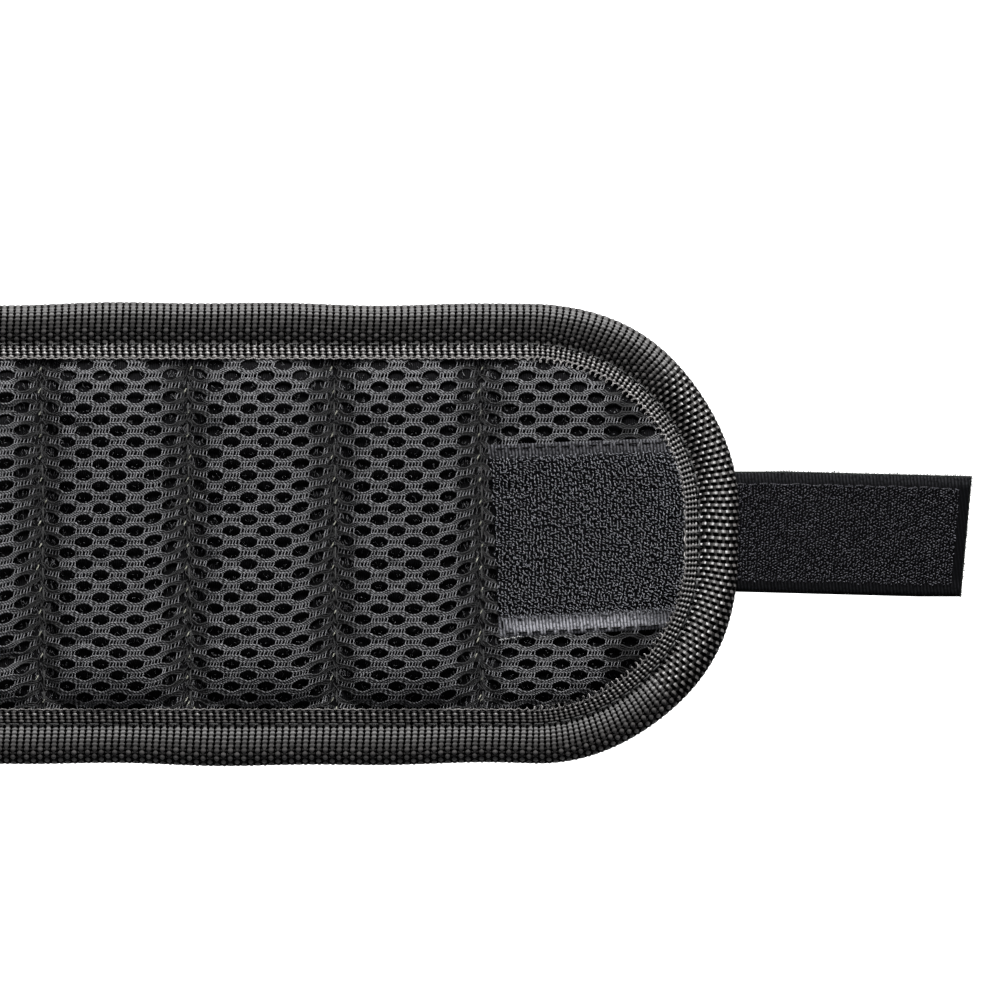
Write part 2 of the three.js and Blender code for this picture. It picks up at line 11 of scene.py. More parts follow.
import bpy
import numpy as np
from bpy.props import FloatProperty, FloatVectorProperty, PointerProperty
from mathutils import Matrix, Vector
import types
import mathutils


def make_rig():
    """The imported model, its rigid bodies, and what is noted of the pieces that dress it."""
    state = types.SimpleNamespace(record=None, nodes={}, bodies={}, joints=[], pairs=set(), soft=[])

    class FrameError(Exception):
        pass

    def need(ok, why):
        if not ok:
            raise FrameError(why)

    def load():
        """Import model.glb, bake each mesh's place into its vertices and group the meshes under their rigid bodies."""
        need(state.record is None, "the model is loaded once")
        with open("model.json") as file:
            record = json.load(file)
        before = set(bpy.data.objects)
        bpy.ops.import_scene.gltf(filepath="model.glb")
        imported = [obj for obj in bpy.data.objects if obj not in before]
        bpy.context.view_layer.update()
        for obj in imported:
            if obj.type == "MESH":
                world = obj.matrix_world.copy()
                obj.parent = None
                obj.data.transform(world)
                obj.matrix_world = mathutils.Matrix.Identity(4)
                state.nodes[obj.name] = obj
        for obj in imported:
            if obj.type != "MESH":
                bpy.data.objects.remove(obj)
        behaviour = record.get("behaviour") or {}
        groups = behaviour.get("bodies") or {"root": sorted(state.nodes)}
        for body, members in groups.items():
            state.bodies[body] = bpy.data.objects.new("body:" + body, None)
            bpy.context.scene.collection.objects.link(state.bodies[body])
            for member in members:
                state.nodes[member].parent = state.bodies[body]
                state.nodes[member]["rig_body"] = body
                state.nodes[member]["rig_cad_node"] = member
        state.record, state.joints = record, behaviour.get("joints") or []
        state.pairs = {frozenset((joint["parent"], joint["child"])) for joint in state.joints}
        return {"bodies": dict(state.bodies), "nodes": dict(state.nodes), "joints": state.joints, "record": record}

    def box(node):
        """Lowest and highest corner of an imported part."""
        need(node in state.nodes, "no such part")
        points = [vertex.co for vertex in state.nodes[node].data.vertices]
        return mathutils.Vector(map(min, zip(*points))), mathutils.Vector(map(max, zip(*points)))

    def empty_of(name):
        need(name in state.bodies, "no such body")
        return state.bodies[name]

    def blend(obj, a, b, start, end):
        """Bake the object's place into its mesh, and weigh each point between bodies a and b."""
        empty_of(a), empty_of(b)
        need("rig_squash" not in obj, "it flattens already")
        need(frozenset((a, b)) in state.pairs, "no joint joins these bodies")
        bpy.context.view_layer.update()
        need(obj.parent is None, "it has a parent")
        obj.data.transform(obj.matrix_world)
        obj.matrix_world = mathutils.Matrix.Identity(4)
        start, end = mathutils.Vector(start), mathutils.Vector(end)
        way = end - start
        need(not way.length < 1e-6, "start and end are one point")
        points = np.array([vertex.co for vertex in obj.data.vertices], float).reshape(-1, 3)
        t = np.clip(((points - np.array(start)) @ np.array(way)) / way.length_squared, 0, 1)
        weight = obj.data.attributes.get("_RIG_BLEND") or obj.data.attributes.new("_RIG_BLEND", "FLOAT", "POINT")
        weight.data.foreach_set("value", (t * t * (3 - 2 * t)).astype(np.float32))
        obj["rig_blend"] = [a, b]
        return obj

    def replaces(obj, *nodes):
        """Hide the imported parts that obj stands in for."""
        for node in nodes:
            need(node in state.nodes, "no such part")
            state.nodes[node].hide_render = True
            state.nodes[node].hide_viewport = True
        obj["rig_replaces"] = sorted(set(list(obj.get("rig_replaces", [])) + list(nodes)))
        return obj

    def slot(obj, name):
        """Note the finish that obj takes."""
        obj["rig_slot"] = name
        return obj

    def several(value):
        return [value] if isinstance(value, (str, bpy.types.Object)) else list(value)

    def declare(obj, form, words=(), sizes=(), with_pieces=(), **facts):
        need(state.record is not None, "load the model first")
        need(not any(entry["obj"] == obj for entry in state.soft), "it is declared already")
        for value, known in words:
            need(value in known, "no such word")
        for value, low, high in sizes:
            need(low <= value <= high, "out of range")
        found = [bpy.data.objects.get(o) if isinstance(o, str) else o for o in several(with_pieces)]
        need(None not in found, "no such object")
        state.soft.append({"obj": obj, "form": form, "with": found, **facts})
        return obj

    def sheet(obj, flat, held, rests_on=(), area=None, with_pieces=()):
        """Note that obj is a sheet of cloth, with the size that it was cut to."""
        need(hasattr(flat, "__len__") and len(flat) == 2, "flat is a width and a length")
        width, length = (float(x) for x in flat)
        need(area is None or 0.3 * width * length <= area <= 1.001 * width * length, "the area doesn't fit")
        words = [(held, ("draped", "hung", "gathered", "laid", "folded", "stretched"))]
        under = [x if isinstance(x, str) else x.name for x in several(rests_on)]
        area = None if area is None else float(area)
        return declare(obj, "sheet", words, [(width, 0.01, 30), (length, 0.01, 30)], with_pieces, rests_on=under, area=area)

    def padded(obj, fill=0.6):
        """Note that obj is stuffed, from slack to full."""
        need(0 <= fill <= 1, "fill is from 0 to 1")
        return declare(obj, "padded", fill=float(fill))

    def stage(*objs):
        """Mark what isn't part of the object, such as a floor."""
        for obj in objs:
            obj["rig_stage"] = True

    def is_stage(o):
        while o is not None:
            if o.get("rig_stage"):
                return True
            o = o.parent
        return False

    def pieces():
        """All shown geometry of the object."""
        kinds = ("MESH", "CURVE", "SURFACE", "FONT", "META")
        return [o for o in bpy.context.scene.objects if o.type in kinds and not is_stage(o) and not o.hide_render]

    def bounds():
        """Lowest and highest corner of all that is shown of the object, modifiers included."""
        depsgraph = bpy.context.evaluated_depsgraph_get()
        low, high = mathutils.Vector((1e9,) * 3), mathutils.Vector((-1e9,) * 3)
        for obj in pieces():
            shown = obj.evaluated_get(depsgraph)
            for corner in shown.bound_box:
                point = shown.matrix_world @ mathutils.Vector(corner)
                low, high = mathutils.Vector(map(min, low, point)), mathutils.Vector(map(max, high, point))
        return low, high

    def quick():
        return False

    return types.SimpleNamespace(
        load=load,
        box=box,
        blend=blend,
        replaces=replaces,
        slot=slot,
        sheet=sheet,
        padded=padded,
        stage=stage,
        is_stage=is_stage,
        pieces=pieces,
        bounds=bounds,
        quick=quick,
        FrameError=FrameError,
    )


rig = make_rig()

bl_info = {
    "name": "Magnetic wristband",
    "version": (1, 0, 0),
    "blender": (4, 5, 0),
    "location": "View3D > Sidebar > Wristband",
    "description": "Makes the cloth, tapes, mesh and stitching of a magnetic wristband round its CAD model",
    "category": "Object",
}

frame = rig.load()
cad_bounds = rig.bounds()

MM = 0.001
CHAIN = ("left_end", "pocket_1", "pocket_2", "pocket_3", "pocket_4", "pocket_5", "right_end")
LOOP_PATCH_BODIES = ("left_end", "pocket_1", "pocket_2")
STRETCHES = range(1, len(CHAIN))
joint_place = {joint["name"]: joint["pos_m"] for joint in frame["joints"]}
seam_x = [joint_place[f"seam_{number}"][0] for number in STRETCHES]
seam_z = joint_place["seam_1"][2]
tab_fold_x, _, tab_fold_z = joint_place["tab_fold"]
half_pitch = (seam_x[1] - seam_x[0]) / 2


@lru_cache(None)
def node_box(name):
    """Lowest and highest corner of a CAD node, as arrays."""
    low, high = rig.box(name)
    return np.array(low), np.array(high)


# The band's outline is a rectangle with round corners, between these ends
band_left = node_box("left_end_edge_binding")[0][0]
band_right = node_box("right_end_edge_binding")[1][0]
band_middle = (band_left + band_right) / 2
half_length = (band_right - band_left) / 2
half_width = node_box("right_end_edge_binding")[1][1]

# Heights of the cloth layers
binding_low, binding_high = node_box("pocket_3_edge_binding_back")
lining_bottom = node_box("left_end_mesh_lining")[0][2]
crown_top = {body: node_box(f"{body}_mesh_lining")[1][2] for body in CHAIN}
cloth_bottom = {body: node_box(f"{body}_outer_cloth")[0][2] for body in CHAIN}
cloth_top = node_box("left_end_outer_cloth")[1][2]
flat_cloth_bottom = cloth_bottom["left_end"]
tab_root_low, tab_root_high = node_box("right_end_tab_root")
tab_half_width = tab_root_high[1]
tab_tip = node_box("tab_backing_tape")[1][0]
carrier_box = {body: node_box(f"{body}_magnet_carrier") for body in CHAIN[1:-1]}

# The photograph's scale, and the pixel that the band's right edge and middle line show at
PIXEL = 0.195 * MM
PHOTO_RIGHT_EDGE_PIXEL = 740
PHOTO_MIDDLE_LINE_PIXEL = 534
PHOTO_CENTRE_PIXEL = 500
HOOK_PATCH_PIXELS = ((488, 445), (672, 438), (499, 637), (672, 628))
PATCH_FOLD_PIXEL = (635, 445)
TAB_PIXELS = ((735, 470), (974, 476), (736, 592), (963, 598))
HOLE_PIXEL = (250, 453.75)
GLINT_PIXELS = ((189, 703), (194, 709), (336, 709), (480, 697), (477, 560), (478, 640))
WHITE_STITCH_PIXELS = ((501.5, 639.7), (507.4, 638.5), (513.3, 637.4), (519.2, 636.2))


def from_photo(across, down):
    """Place in the row frame that a pixel of the photograph shows."""
    return (
        band_right + (across - PHOTO_RIGHT_EDGE_PIXEL) * PIXEL,
        (PHOTO_MIDDLE_LINE_PIXEL - down) * PIXEL,
    )


# Sizes and colours that a user may change


def amount(name, description, default, **limits):
    return FloatProperty(name=name, description=description, default=default, **limits)


def length(name, description, default, high=1.0):
    limits = {"min": 0, "max": high, "subtype": "DISTANCE", "unit": "LENGTH", "precision": 5}
    return amount(name, description, default, **limits)


def colour(name, description, default):
    return FloatVectorProperty(
        name=name, description=description, default=default, size=3, min=0, max=1, subtype="COLOR"
    )


class BandSizes(bpy.types.PropertyGroup):
    """Outline and folds of the band."""

    corner_radius: length("Corner radius", "Radius of the band's four corners", 41 * MM)
    fold_reach: length("Fold reach", "Half the length of cloth that bends at a seam", 5 * MM)
    sewn_thickness: length("Sewn thickness", "Thickness of the lining where it is sewn down", 0.6 * MM)
    crown_reach: length("Crown reach", "Distance over which a pocket's lining rises", 12 * MM)
    end_crown_reach: length("End crown reach", "Distance over which an end's lining rises", 8 * MM)


class BindingSizes(bpy.types.PropertyGroup):
    """Woven tape folded round the band's edge."""

    width: length("Width", "Width that shows on each face", binding_high[1] - binding_low[1])
    weft_pitch: length("Weft pitch", "Distance between the thick yarns across the tape", 1.32 * MM)
    row_pitch: length("Row pitch", "Distance between the thin yarns along the tape", 0.82 * MM)
    yarn_lift: length("Yarn lift", "How far a thick yarn rises and falls over the thin ones", 0.1 * MM)
    yarn_round: length("Yarn roundness", "Height of a thick yarn's round face", 0.45 * MM)
    lip_row_pitch: length("Lip row pitch", "Distance between the thin yarns on the tape's lip", 0.66 * MM)
    selvage_radius: length("Selvage thread", "Radius of the thread along the sewn edge", 0.15 * MM)
    waver: length("Waver", "How far the sewn edge wanders", 0.4 * MM)
    yarn_colour: colour("Yarn", "Colour of the yarns", (0.2, 0.19, 0.185))
    # Near black painted shade between the yarns
    gap_shade_colour: colour("Gap", "Colour between the yarns", (0.0015, 0.0014, 0.0013))


class NetSizes(bpy.types.PropertyGroup):
    """Spacer mesh of the lining."""

    hole_pitch: length("Hole pitch", "Distance between holes in a row", 6.68 * MM)
    hole_length: length("Hole length", "Length of a hole along its row", 2.95 * MM)
    hole_width: length("Hole width", "Width of a hole across its row", 2.0 * MM)
    row_pitch: length("Row pitch", "Distance between rows of holes", 2.155 * MM)
    slit: length("Slit", "Gap between neighbouring ribs between their holes", 0.6 * MM)
    cord_radius: length("Cord radius", "Radius of the knitted cords", 0.21 * MM)
    tie_radius: length("Tie radius", "Radius of the yarns that tie ribs together", 0.1 * MM)
    fibre_radius: length("Fibre radius", "Radius of the pile's fibres", 0.06 * MM)
    sag: length("Sag", "How far rows rise towards a seam", 2.0 * MM)
    depth_share: amount("Depth", "Share of the crown's height at which the padding lies", 0.78, min=0, max=1)
    cord_colour: colour("Cords", "Colour of the knitted cords", (0.08, 0.08, 0.084))
    fibre_colour: colour("Fibres", "Colour of the pile between the two faces", (0.12, 0.12, 0.126))
    padding_colour: colour("Padding", "Colour of the padding under the mesh", (0.004, 0.004, 0.0045))


class TapeSizes(bpy.types.PropertyGroup):
    """Hook and loop tapes."""

    hook_height: length("Hook height", "Height of a hook over its tape", 0.8 * MM)
    column_pitch: length("Column pitch", "Distance between columns of hooks", 0.66 * MM)
    hook_pitch: length("Hook pitch", "Distance between hooks in a column", 0.52 * MM)
    tab_hook_pitch: length("Tab hook pitch", "Distance between the tab's hooks", 0.58 * MM)
    rib_pitch: length("Rib pitch", "Distance between a selvage's ribs", 0.66 * MM)
    patch_colour: colour("Hook patch", "Colour of the hook patch's cloth", (0.002, 0.0021, 0.0027))
    patch_hook_colour: colour("Hooks of the patch", "Colour of the hook patch's hooks", (0.31, 0.315, 0.345))
    tab_colour: colour("Tab", "Colour of the tab's hook tape", (0.002, 0.0021, 0.0027))
    tab_hook_colour: colour("Hooks of the tab", "Colour of the tab's hooks", (0.17, 0.17, 0.195))
    backing_colour: colour("Tab backing", "Colour of the tab's backing tape", (0.02, 0.023, 0.021))
    loop_colour: colour("Loop patch", "Colour of the loop pile", (0.02, 0.02, 0.022))
    worn_colour: colour("Worn tape", "Colour of fully worn tape", (0.5, 0.5, 0.545))


class ClothSizes(bpy.types.PropertyGroup):
    """Outer cloth, carriers and magnets."""

    weave_pitch: length("Weave pitch", "Distance between the outer cloth's yarns", 0.7 * MM)
    cloth_colour: colour("Outer cloth", "Colour of the outer cloth", (0.016, 0.016, 0.018))
    felt_colour: colour("Carrier felt", "Colour of the magnets' carrier sheets", (0.045, 0.045, 0.048))
    nickel_colour: colour("Nickel", "Colour of the magnets' plating", (0.5, 0.51, 0.52))


class ThreadSizes(bpy.types.PropertyGroup):
    """Sewing threads."""

    radius: length("Radius", "Radius of the sewing thread", 0.17 * MM)
    seam_stitch: length("Seam stitch", "Length of a stitch in the pocket seams", 4.0 * MM)
    edge_stitch: length("Edge stitch", "Length of a stitch along binding and tapes", 2.6 * MM)
    thread_colour: colour("Thread", "Colour of the sewing thread", (0.03, 0.03, 0.03))
    tab_thread_colour: colour("Tab thread", "Colour of the tab's stitched line", (0.03, 0.03, 0.036))
    glint_colour: colour("Pale thread", "Colour of the few pale thread ends", (0.6, 0.62, 0.32))
    white_colour: colour("White thread", "Colour of the white stitches by the hook patch", (0.7, 0.7, 0.72))


class StageSizes(bpy.types.PropertyGroup):
    """Floor, lamps and camera."""

    camera_height: length("Camera height", "Height of the camera over the floor", 1.0, high=10)
    view_width: length("View width", "Width of the floor that the photograph shows", 195 * MM)
    floor_depth: length("Floor depth", "Depth of the floor, clear of the band's hanging ends", 101 * MM)
    floor_colour: colour("Floor", "Colour of the floor", (0.9, 0.9, 0.9))
    key_power: amount("Key", "Power of the lamp behind the band", 12.0, unit="POWER")
    fill_power: amount("Fill", "Power of the lamp overhead", 0.4, unit="POWER")


def sizes(group):
    """One of the scene's groups of sizes."""
    return getattr(bpy.context.scene, f"wristband_{group}")


# Places on the band


def inset(x, y):
    """Distance in from the band's edge."""
    radius = sizes("band").corner_radius
    past_end = np.abs(x - band_middle) - (half_length - radius)
    past_side = np.abs(y) - (half_width - radius)
    in_corner = radius - np.hypot(np.maximum(past_end, 0), np.maximum(past_side, 0))
    straight = radius - np.maximum(past_end, past_side)
    return np.where((past_end > 0) & (past_side > 0), in_corner, straight)


def half_width_at(x, edge_inset):
    """Half the width of the band's outline, set in from its edge."""
    radius = sizes("band").corner_radius
    past_end = np.clip(np.abs(x - band_middle) - (half_length - radius), 0, radius - edge_inset)
    return half_width - radius + np.sqrt((radius - edge_inset) ** 2 - past_end**2)


def edge_legs():
    """Lengths of the edge's four sides and four corners in turn, clockwise from the back side's start."""
    radius = sizes("band").corner_radius
    side, end, turn = 2 * (half_length - radius), 2 * (half_width - radius), math.pi / 2 * radius
    return np.array([side, turn, end, turn, side, turn, end, turn])


def edge_places(distance):
    """Places on the band's edge and the outward direction there, by distance clockwise along it."""
    legs = edge_legs()
    radius = sizes("band").corner_radius
    starts = np.concatenate([[0], np.cumsum(legs)[:-1]])
    distance = distance % legs.sum()
    leg = np.searchsorted(starts, distance, side="right") - 1
    along = distance - starts[leg]
    in_corner = leg % 2 == 1
    turned = (leg // 2) * math.pi / 2 + np.where(in_corner, along / radius, 0)
    centre = ((leg + 1) // 2) % 4
    centre_x = band_middle + np.array([-1, 1, 1, -1])[centre] * legs[0] / 2
    centre_y = np.array([1, 1, -1, -1])[centre] * legs[2] / 2
    out = np.stack([np.sin(turned), np.cos(turned)], -1)
    heading = np.stack([out[..., 1], -out[..., 0]], -1)
    onward = np.where(in_corner, 0, along)[..., None]
    return np.stack([centre_x, centre_y], -1) + radius * out + heading * onward, out


class Stretch:
    """A length of the band that crosses one seam, from the middle of one pocket to that of the next."""

    def __init__(self, number):
        self.number = number
        self.bodies = CHAIN[number - 1 : number + 1]
        self.seam = seam_x[number - 1]
        self.first = number == STRETCHES[0]
        self.last = number == STRETCHES[-1]
        self.left = band_left if self.first else self.seam - half_pitch
        self.right = band_right if self.last else self.seam + half_pitch
        self.owners = self.bodies if self.first else self.bodies[1:]

    def edge_runs(self):
        """From where to where the stretch's edge runs, as distances clockwise along the band's edge."""
        legs = edge_legs()
        side_start = band_middle - legs[0] / 2
        front_end = legs[:5].sum()

        def back(x):
            return x - side_start

        def front(x):
            return front_end - (x - side_start)

        if self.first:
            return [(front(self.right), legs.sum() + back(self.right))]
        if self.last:
            return [(back(self.left), front(self.left))]
        return [(back(self.left), back(self.right)), (front(self.right), front(self.left))]

    def sew_in(self, piece, slot, *parts):
        """Bends a finished piece at the seam. It has that material slot and stands for those CAD parts."""
        nodes = [f"{owner}_{part}" for owner in self.owners for part in parts]
        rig.replaces(piece, *(node for node in nodes if node in frame["nodes"]))
        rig.slot(piece, slot)
        reach = sizes("band").fold_reach
        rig.blend(
            piece, *self.bodies, start=(self.seam - reach, 0, seam_z), end=(self.seam + reach, 0, seam_z)
        )
        return piece


def stretches():
    return [Stretch(number) for number in STRETCHES]


def body_shares(x):
    """For each body of the band, 1 where x lies on it and 0 elsewhere."""
    index = np.searchsorted(seam_x, x)
    return {body: index == place for place, body in enumerate(CHAIN)}


def by_body(x, values):
    """The value of the body that x lies on."""
    return sum(np.where(here, values[body], 0) for body, here in body_shares(x).items())


def seam_distance(x):
    """Distance to the nearest seam."""
    return np.min([np.abs(x - seam) for seam in seam_x], axis=0)


def by_seam(x, reach):
    """1 on a seam, falling to 0 beside it."""
    return np.exp(-((seam_distance(x) / reach) ** 2))


def ramp(distance, reach):
    """0 to 1 over reach, level at both ends."""
    along = np.clip(distance / reach, 0, 1)
    return along * along * (3 - 2 * along)


def bow(distance, reach):
    """0 to 1 over reach, steep at first as a stuffed sheet rises from its stitching."""
    return 1 - (1 - np.clip(distance / reach, 0, 1)) ** 2


# Meshes from arrays


def joined(x, y, z):
    """Places with these coordinates, each an array or one number for all."""
    return np.stack(np.broadcast_arrays(x, y, z), -1)


def linked(name, data):
    """A new object of the scene."""
    made = bpy.data.objects.new(name, data)
    bpy.context.scene.collection.objects.link(made)
    return made


def store(mesh, name, values):
    """Gives a mesh a share for each of its points."""
    attribute = mesh.attributes.new(name, "FLOAT", "POINT")
    attribute.data.foreach_set("value", np.asarray(values, np.float32).ravel())


def mesh_object(name, points, faces, material, uv=None, shares=None, flat_faces=0):
    """A mesh object with its place in its mesh. Points are in metres; shares are values per point.

    Its faces are smooth but for the last flat_faces of them.
    """
    mesh = bpy.data.meshes.new(name)
    mesh.from_pydata(np.asarray(points).tolist(), [], faces)
    smooth = [True] * (len(faces) - flat_faces) + [False] * flat_faces
    mesh.polygons.foreach_set("use_smooth", smooth)
    mesh.materials.append(material)
    if uv is not None:
        corner = np.zeros(len(mesh.loops), np.int32)
        mesh.loops.foreach_get("vertex_index", corner)
        layer = mesh.uv_layers.new(name="Yarns")
        layer.data.foreach_set("uv", np.asarray(uv, np.float32)[corner].ravel())
    for share_name, values in (shares or {}).items():
        store(mesh, share_name, values)
    return linked(name, mesh)


def grid_faces(rows, columns, first=0, wrapped=False):
    """Four-cornered faces of a grid of points. A wrapped grid's last column joins its first."""
    across = columns if wrapped else columns - 1
    row, column = np.meshgrid(np.arange(rows - 1), np.arange(across), indexing="ij")
    after = (column + 1) % columns
    here, onward = row * columns, (row + 1) * columns
    corners = [here + column, onward + column, onward + after, here + after]
    return (np.stack(corners, -1).reshape(-1, 4) + first).tolist()


def slab(name, x, y, top, bottom, material, shares=None):
    """A closed sheet between two heights over a grid of places, whose rows run along X."""
    rows, columns = x.shape
    count = rows * columns
    faces = grid_faces(rows, columns)
    faces += [face[::-1] for face in grid_faces(rows, columns, first=count)]
    number = np.arange(count).reshape(rows, columns)
    rim = np.concatenate([number[:, 0], number[-1, 1:], number[-2::-1, -1], number[0, -2:0:-1]])
    for here, there in zip(rim, np.roll(rim, -1)):
        faces.append([int(there), int(here), int(here) + count, int(there) + count])
    points = np.concatenate([joined(x, y, height).reshape(-1, 3) for height in (top, bottom)])
    doubled = {key: np.concatenate([np.ravel(value)] * 2) for key, value in (shares or {}).items()}
    return mesh_object(name, points, faces, material, shares=doubled, flat_faces=len(rim))


def places_along(steps, gone, line):
    """Places at these steps along a line, whose points lie at the distances gone."""
    return np.stack([np.interp(steps, gone, part) for part in line.T], -1)


def smooth_line(points, step):
    """A smooth line through points, with its places at even steps. Returns the places and their distances."""
    points = np.asarray(points, float)
    padded = np.concatenate([[2 * points[0] - points[1]], points, [2 * points[-1] - points[-2]]])
    share = np.linspace(0, 1, 12, endpoint=False)[:, None]
    pieces = []
    for before, start, end, after in zip(padded, padded[1:], padded[2:], padded[3:]):
        pieces.append(
            0.5 * (2 * start + (end - before) * share + (2 * before - 5 * start + 4 * end - after) * share**2
                   + (3 * start - before - 3 * end + after) * share**3)
        )
    line = np.concatenate(pieces + [points[-1:]])
    gone = np.concatenate([[0], np.cumsum(np.linalg.norm(np.diff(line, axis=0), axis=1))])
    even = np.linspace(0, gone[-1], max(2, round(gone[-1] / step) + 1))
    return places_along(even, gone, line), even


# Node trees


class Value:
    """A number that a node gives. Python's signs for sums put further nodes after it."""

    def __init__(self, tree, socket):
        self.tree = tree
        self.socket = socket

    def to(self, operation, *others):
        """What a Math node makes of this number and the others."""
        return maths(self.tree, operation, self, *others)

    def __add__(self, other):
        return self.to("ADD", other)

    def __sub__(self, other):
        return self.to("SUBTRACT", other)

    def __rsub__(self, other):
        return maths(self.tree, "SUBTRACT", other, self)

    def __mul__(self, other):
        return self.to("MULTIPLY", other)

    def __truediv__(self, other):
        return self.to("DIVIDE", other)

    def __pow__(self, other):
        return self.to("POWER", other)

    def __abs__(self):
        return self.to("ABSOLUTE")

    def __round__(self):
        return self.to("ROUND")


def feed(tree, node, inputs):
    """Gives a node's inputs, by name or number, plain values, colours, sockets or Values."""
    for key, value in inputs.items():
        socket = node.inputs[key]
        if isinstance(value, Value):
            value = value.socket
        if isinstance(value, bpy.types.NodeSocket):
            tree.links.new(value, socket)
        elif socket.type == "RGBA" and len(value) == 3:
            socket.default_value = (*value, 1)
        else:
            socket.default_value = value


def put(tree, kind, inputs=None, **settings):
    """Adds a node to a tree, sets it up and feeds its inputs."""
    node = tree.nodes.new(kind)
    for key, value in settings.items():
        setattr(node, key, value)
    feed(tree, node, inputs or {})
    return node


def maths(tree, operation, *values):
    return Value(tree, put(tree, "ShaderNodeMath", dict(enumerate(values)), operation=operation).outputs[0])


def new_tree(name, sockets):
    """A Geometry Nodes tree with a geometry input, these named inputs and a geometry output."""
    tree = bpy.data.node_groups.new(name, "GeometryNodeTree")
    tree.interface.new_socket("Geometry", in_out="INPUT", socket_type="NodeSocketGeometry")
    for socket_name, kind in sockets.items():
        tree.interface.new_socket(socket_name, in_out="INPUT", socket_type=kind)
    tree.interface.new_socket("Geometry", in_out="OUTPUT", socket_type="NodeSocketGeometry")
    return tree, put(tree, "NodeGroupInput"), put(tree, "NodeGroupOutput")


def end_tree(tree, geometry, given, out):
    """Ends a tree: its instances are made real, and the result takes the finish that its input names."""
    real = put(tree, "GeometryNodeRealizeInstances", {"Geometry": geometry})
    wanted = {"Geometry": real.outputs["Geometry"], "Material": given.outputs["Finish"]}
    finished = put(tree, "GeometryNodeSetMaterial", wanted)
    feed(tree, out, {"Geometry": finished.outputs["Geometry"]})
    return tree


def thread_tree():
    """Sweeps a round thread along every line of a mesh, thicker or thinner by its points' thickness share."""
    sockets = {"Thread radius": "NodeSocketFloat", "Sides": "NodeSocketInt", "Finish": "NodeSocketMaterial"}
    tree, given, out = new_tree("Threads along lines", sockets)
    share = put(tree, "GeometryNodeInputNamedAttribute", {"Name": "thickness"}, data_type="FLOAT")
    lines = put(tree, "GeometryNodeMeshToCurve", {"Mesh": given.outputs["Geometry"]})
    radius = maths(tree, "MULTIPLY", share.outputs["Attribute"], given.outputs["Thread radius"])
    sized = put(tree, "GeometryNodeSetCurveRadius", {"Curve": lines.outputs["Curve"], "Radius": radius})
    gone = put(tree, "GeometryNodeSplineParameter")
    wanted = {"Geometry": sized.outputs["Curve"], "Name": "gone", "Value": gone.outputs["Length"]}
    marked = put(tree, "GeometryNodeStoreNamedAttribute", wanted, data_type="FLOAT", domain="POINT")
    ring_inputs = {"Resolution": given.outputs["Sides"], "Radius": 1.0}
    ring = put(tree, "GeometryNodeCurvePrimitiveCircle", ring_inputs, mode="RADIUS")
    line, profile = marked.outputs["Geometry"], ring.outputs["Curve"]
    wanted = {"Curve": line, "Profile Curve": profile, "Fill Caps": True}
    swept = put(tree, "GeometryNodeCurveToMesh", wanted)
    if "Scale" in swept.inputs:
        feed(tree, swept, {"Scale": put(tree, "GeometryNodeInputRadius").outputs[0]})
    smooth = put(tree, "GeometryNodeSetShadeSmooth", {"Geometry": swept.outputs["Mesh"]})
    return end_tree(tree, smooth.outputs["Geometry"], given, out)


def standing_tree():
    """Stands a small shape on every point of a mesh, turned and sized at random round what its inputs say."""
    numbers = dict.fromkeys(("Size", "Size change", "Turn", "Turn change", "Lean"), "NodeSocketFloat")
    others = {"Shape": "NodeSocketObject", "Seed": "NodeSocketInt", "Finish": "NodeSocketMaterial"}
    tree, given, out = new_tree("Shapes on points", {**others, **numbers})
    shape = put(tree, "GeometryNodeObjectInfo", {"Object": given.outputs["Shape"]})

    def spread(middle, change, seed):
        """A random number up to change from the middle."""
        inputs = {
            2: maths(tree, "SUBTRACT", middle, change),
            3: maths(tree, "ADD", middle, change),
            "Seed": maths(tree, "ADD", given.outputs["Seed"], seed),
        }
        return put(tree, "FunctionNodeRandomValue", inputs, data_type="FLOAT").outputs[1]

    lean = given.outputs["Lean"]
    turned = spread(given.outputs["Turn"], given.outputs["Turn change"], 3)
    angles = {"X": spread(0.0, lean, 1), "Y": spread(0.0, lean, 2), "Z": turned}
    wanted = {
        "Points": given.outputs["Geometry"],
        "Instance": shape.outputs["Geometry"],
        "Rotation": put(tree, "ShaderNodeCombineXYZ", angles).outputs[0],
        "Scale": spread(given.outputs["Size"], given.outputs["Size change"], 4),
    }
    stood = put(tree, "GeometryNodeInstanceOnPoints", wanted)
    return end_tree(tree, stood.outputs["Instances"], given, out)


trees = {}


def grown(source, maker, **inputs):
    """Runs a tree on an object and returns its result as a plain mesh object of the same name."""
    if maker.__name__ not in trees:
        trees[maker.__name__] = maker()
    tree = trees[maker.__name__]
    modifier = source.modifiers.new("Grown", "NODES")
    modifier.node_group = tree
    wanted = {key.replace("_", " ").capitalize(): value for key, value in inputs.items()}
    for item in tree.interface.items_tree:
        if item.in_out == "INPUT" and item.name in wanted:
            modifier[item.identifier] = wanted.pop(item.name)
    if wanted:
        raise RuntimeError(f"the tree has no input named {sorted(wanted)}")
    bpy.context.view_layer.update()
    depsgraph = bpy.context.evaluated_depsgraph_get()
    evaluated = source.evaluated_get(depsgraph)
    mesh = bpy.data.meshes.new_from_object(evaluated, preserve_all_data_layers=True, depsgraph=depsgraph)
    if not len(mesh.polygons):
        raise RuntimeError(f"{source.name}: nothing grew")
    source.modifiers.remove(modifier)
    old = source.data
    source.data = mesh
    mesh.name = source.name
    bpy.data.meshes.remove(old)
    return source


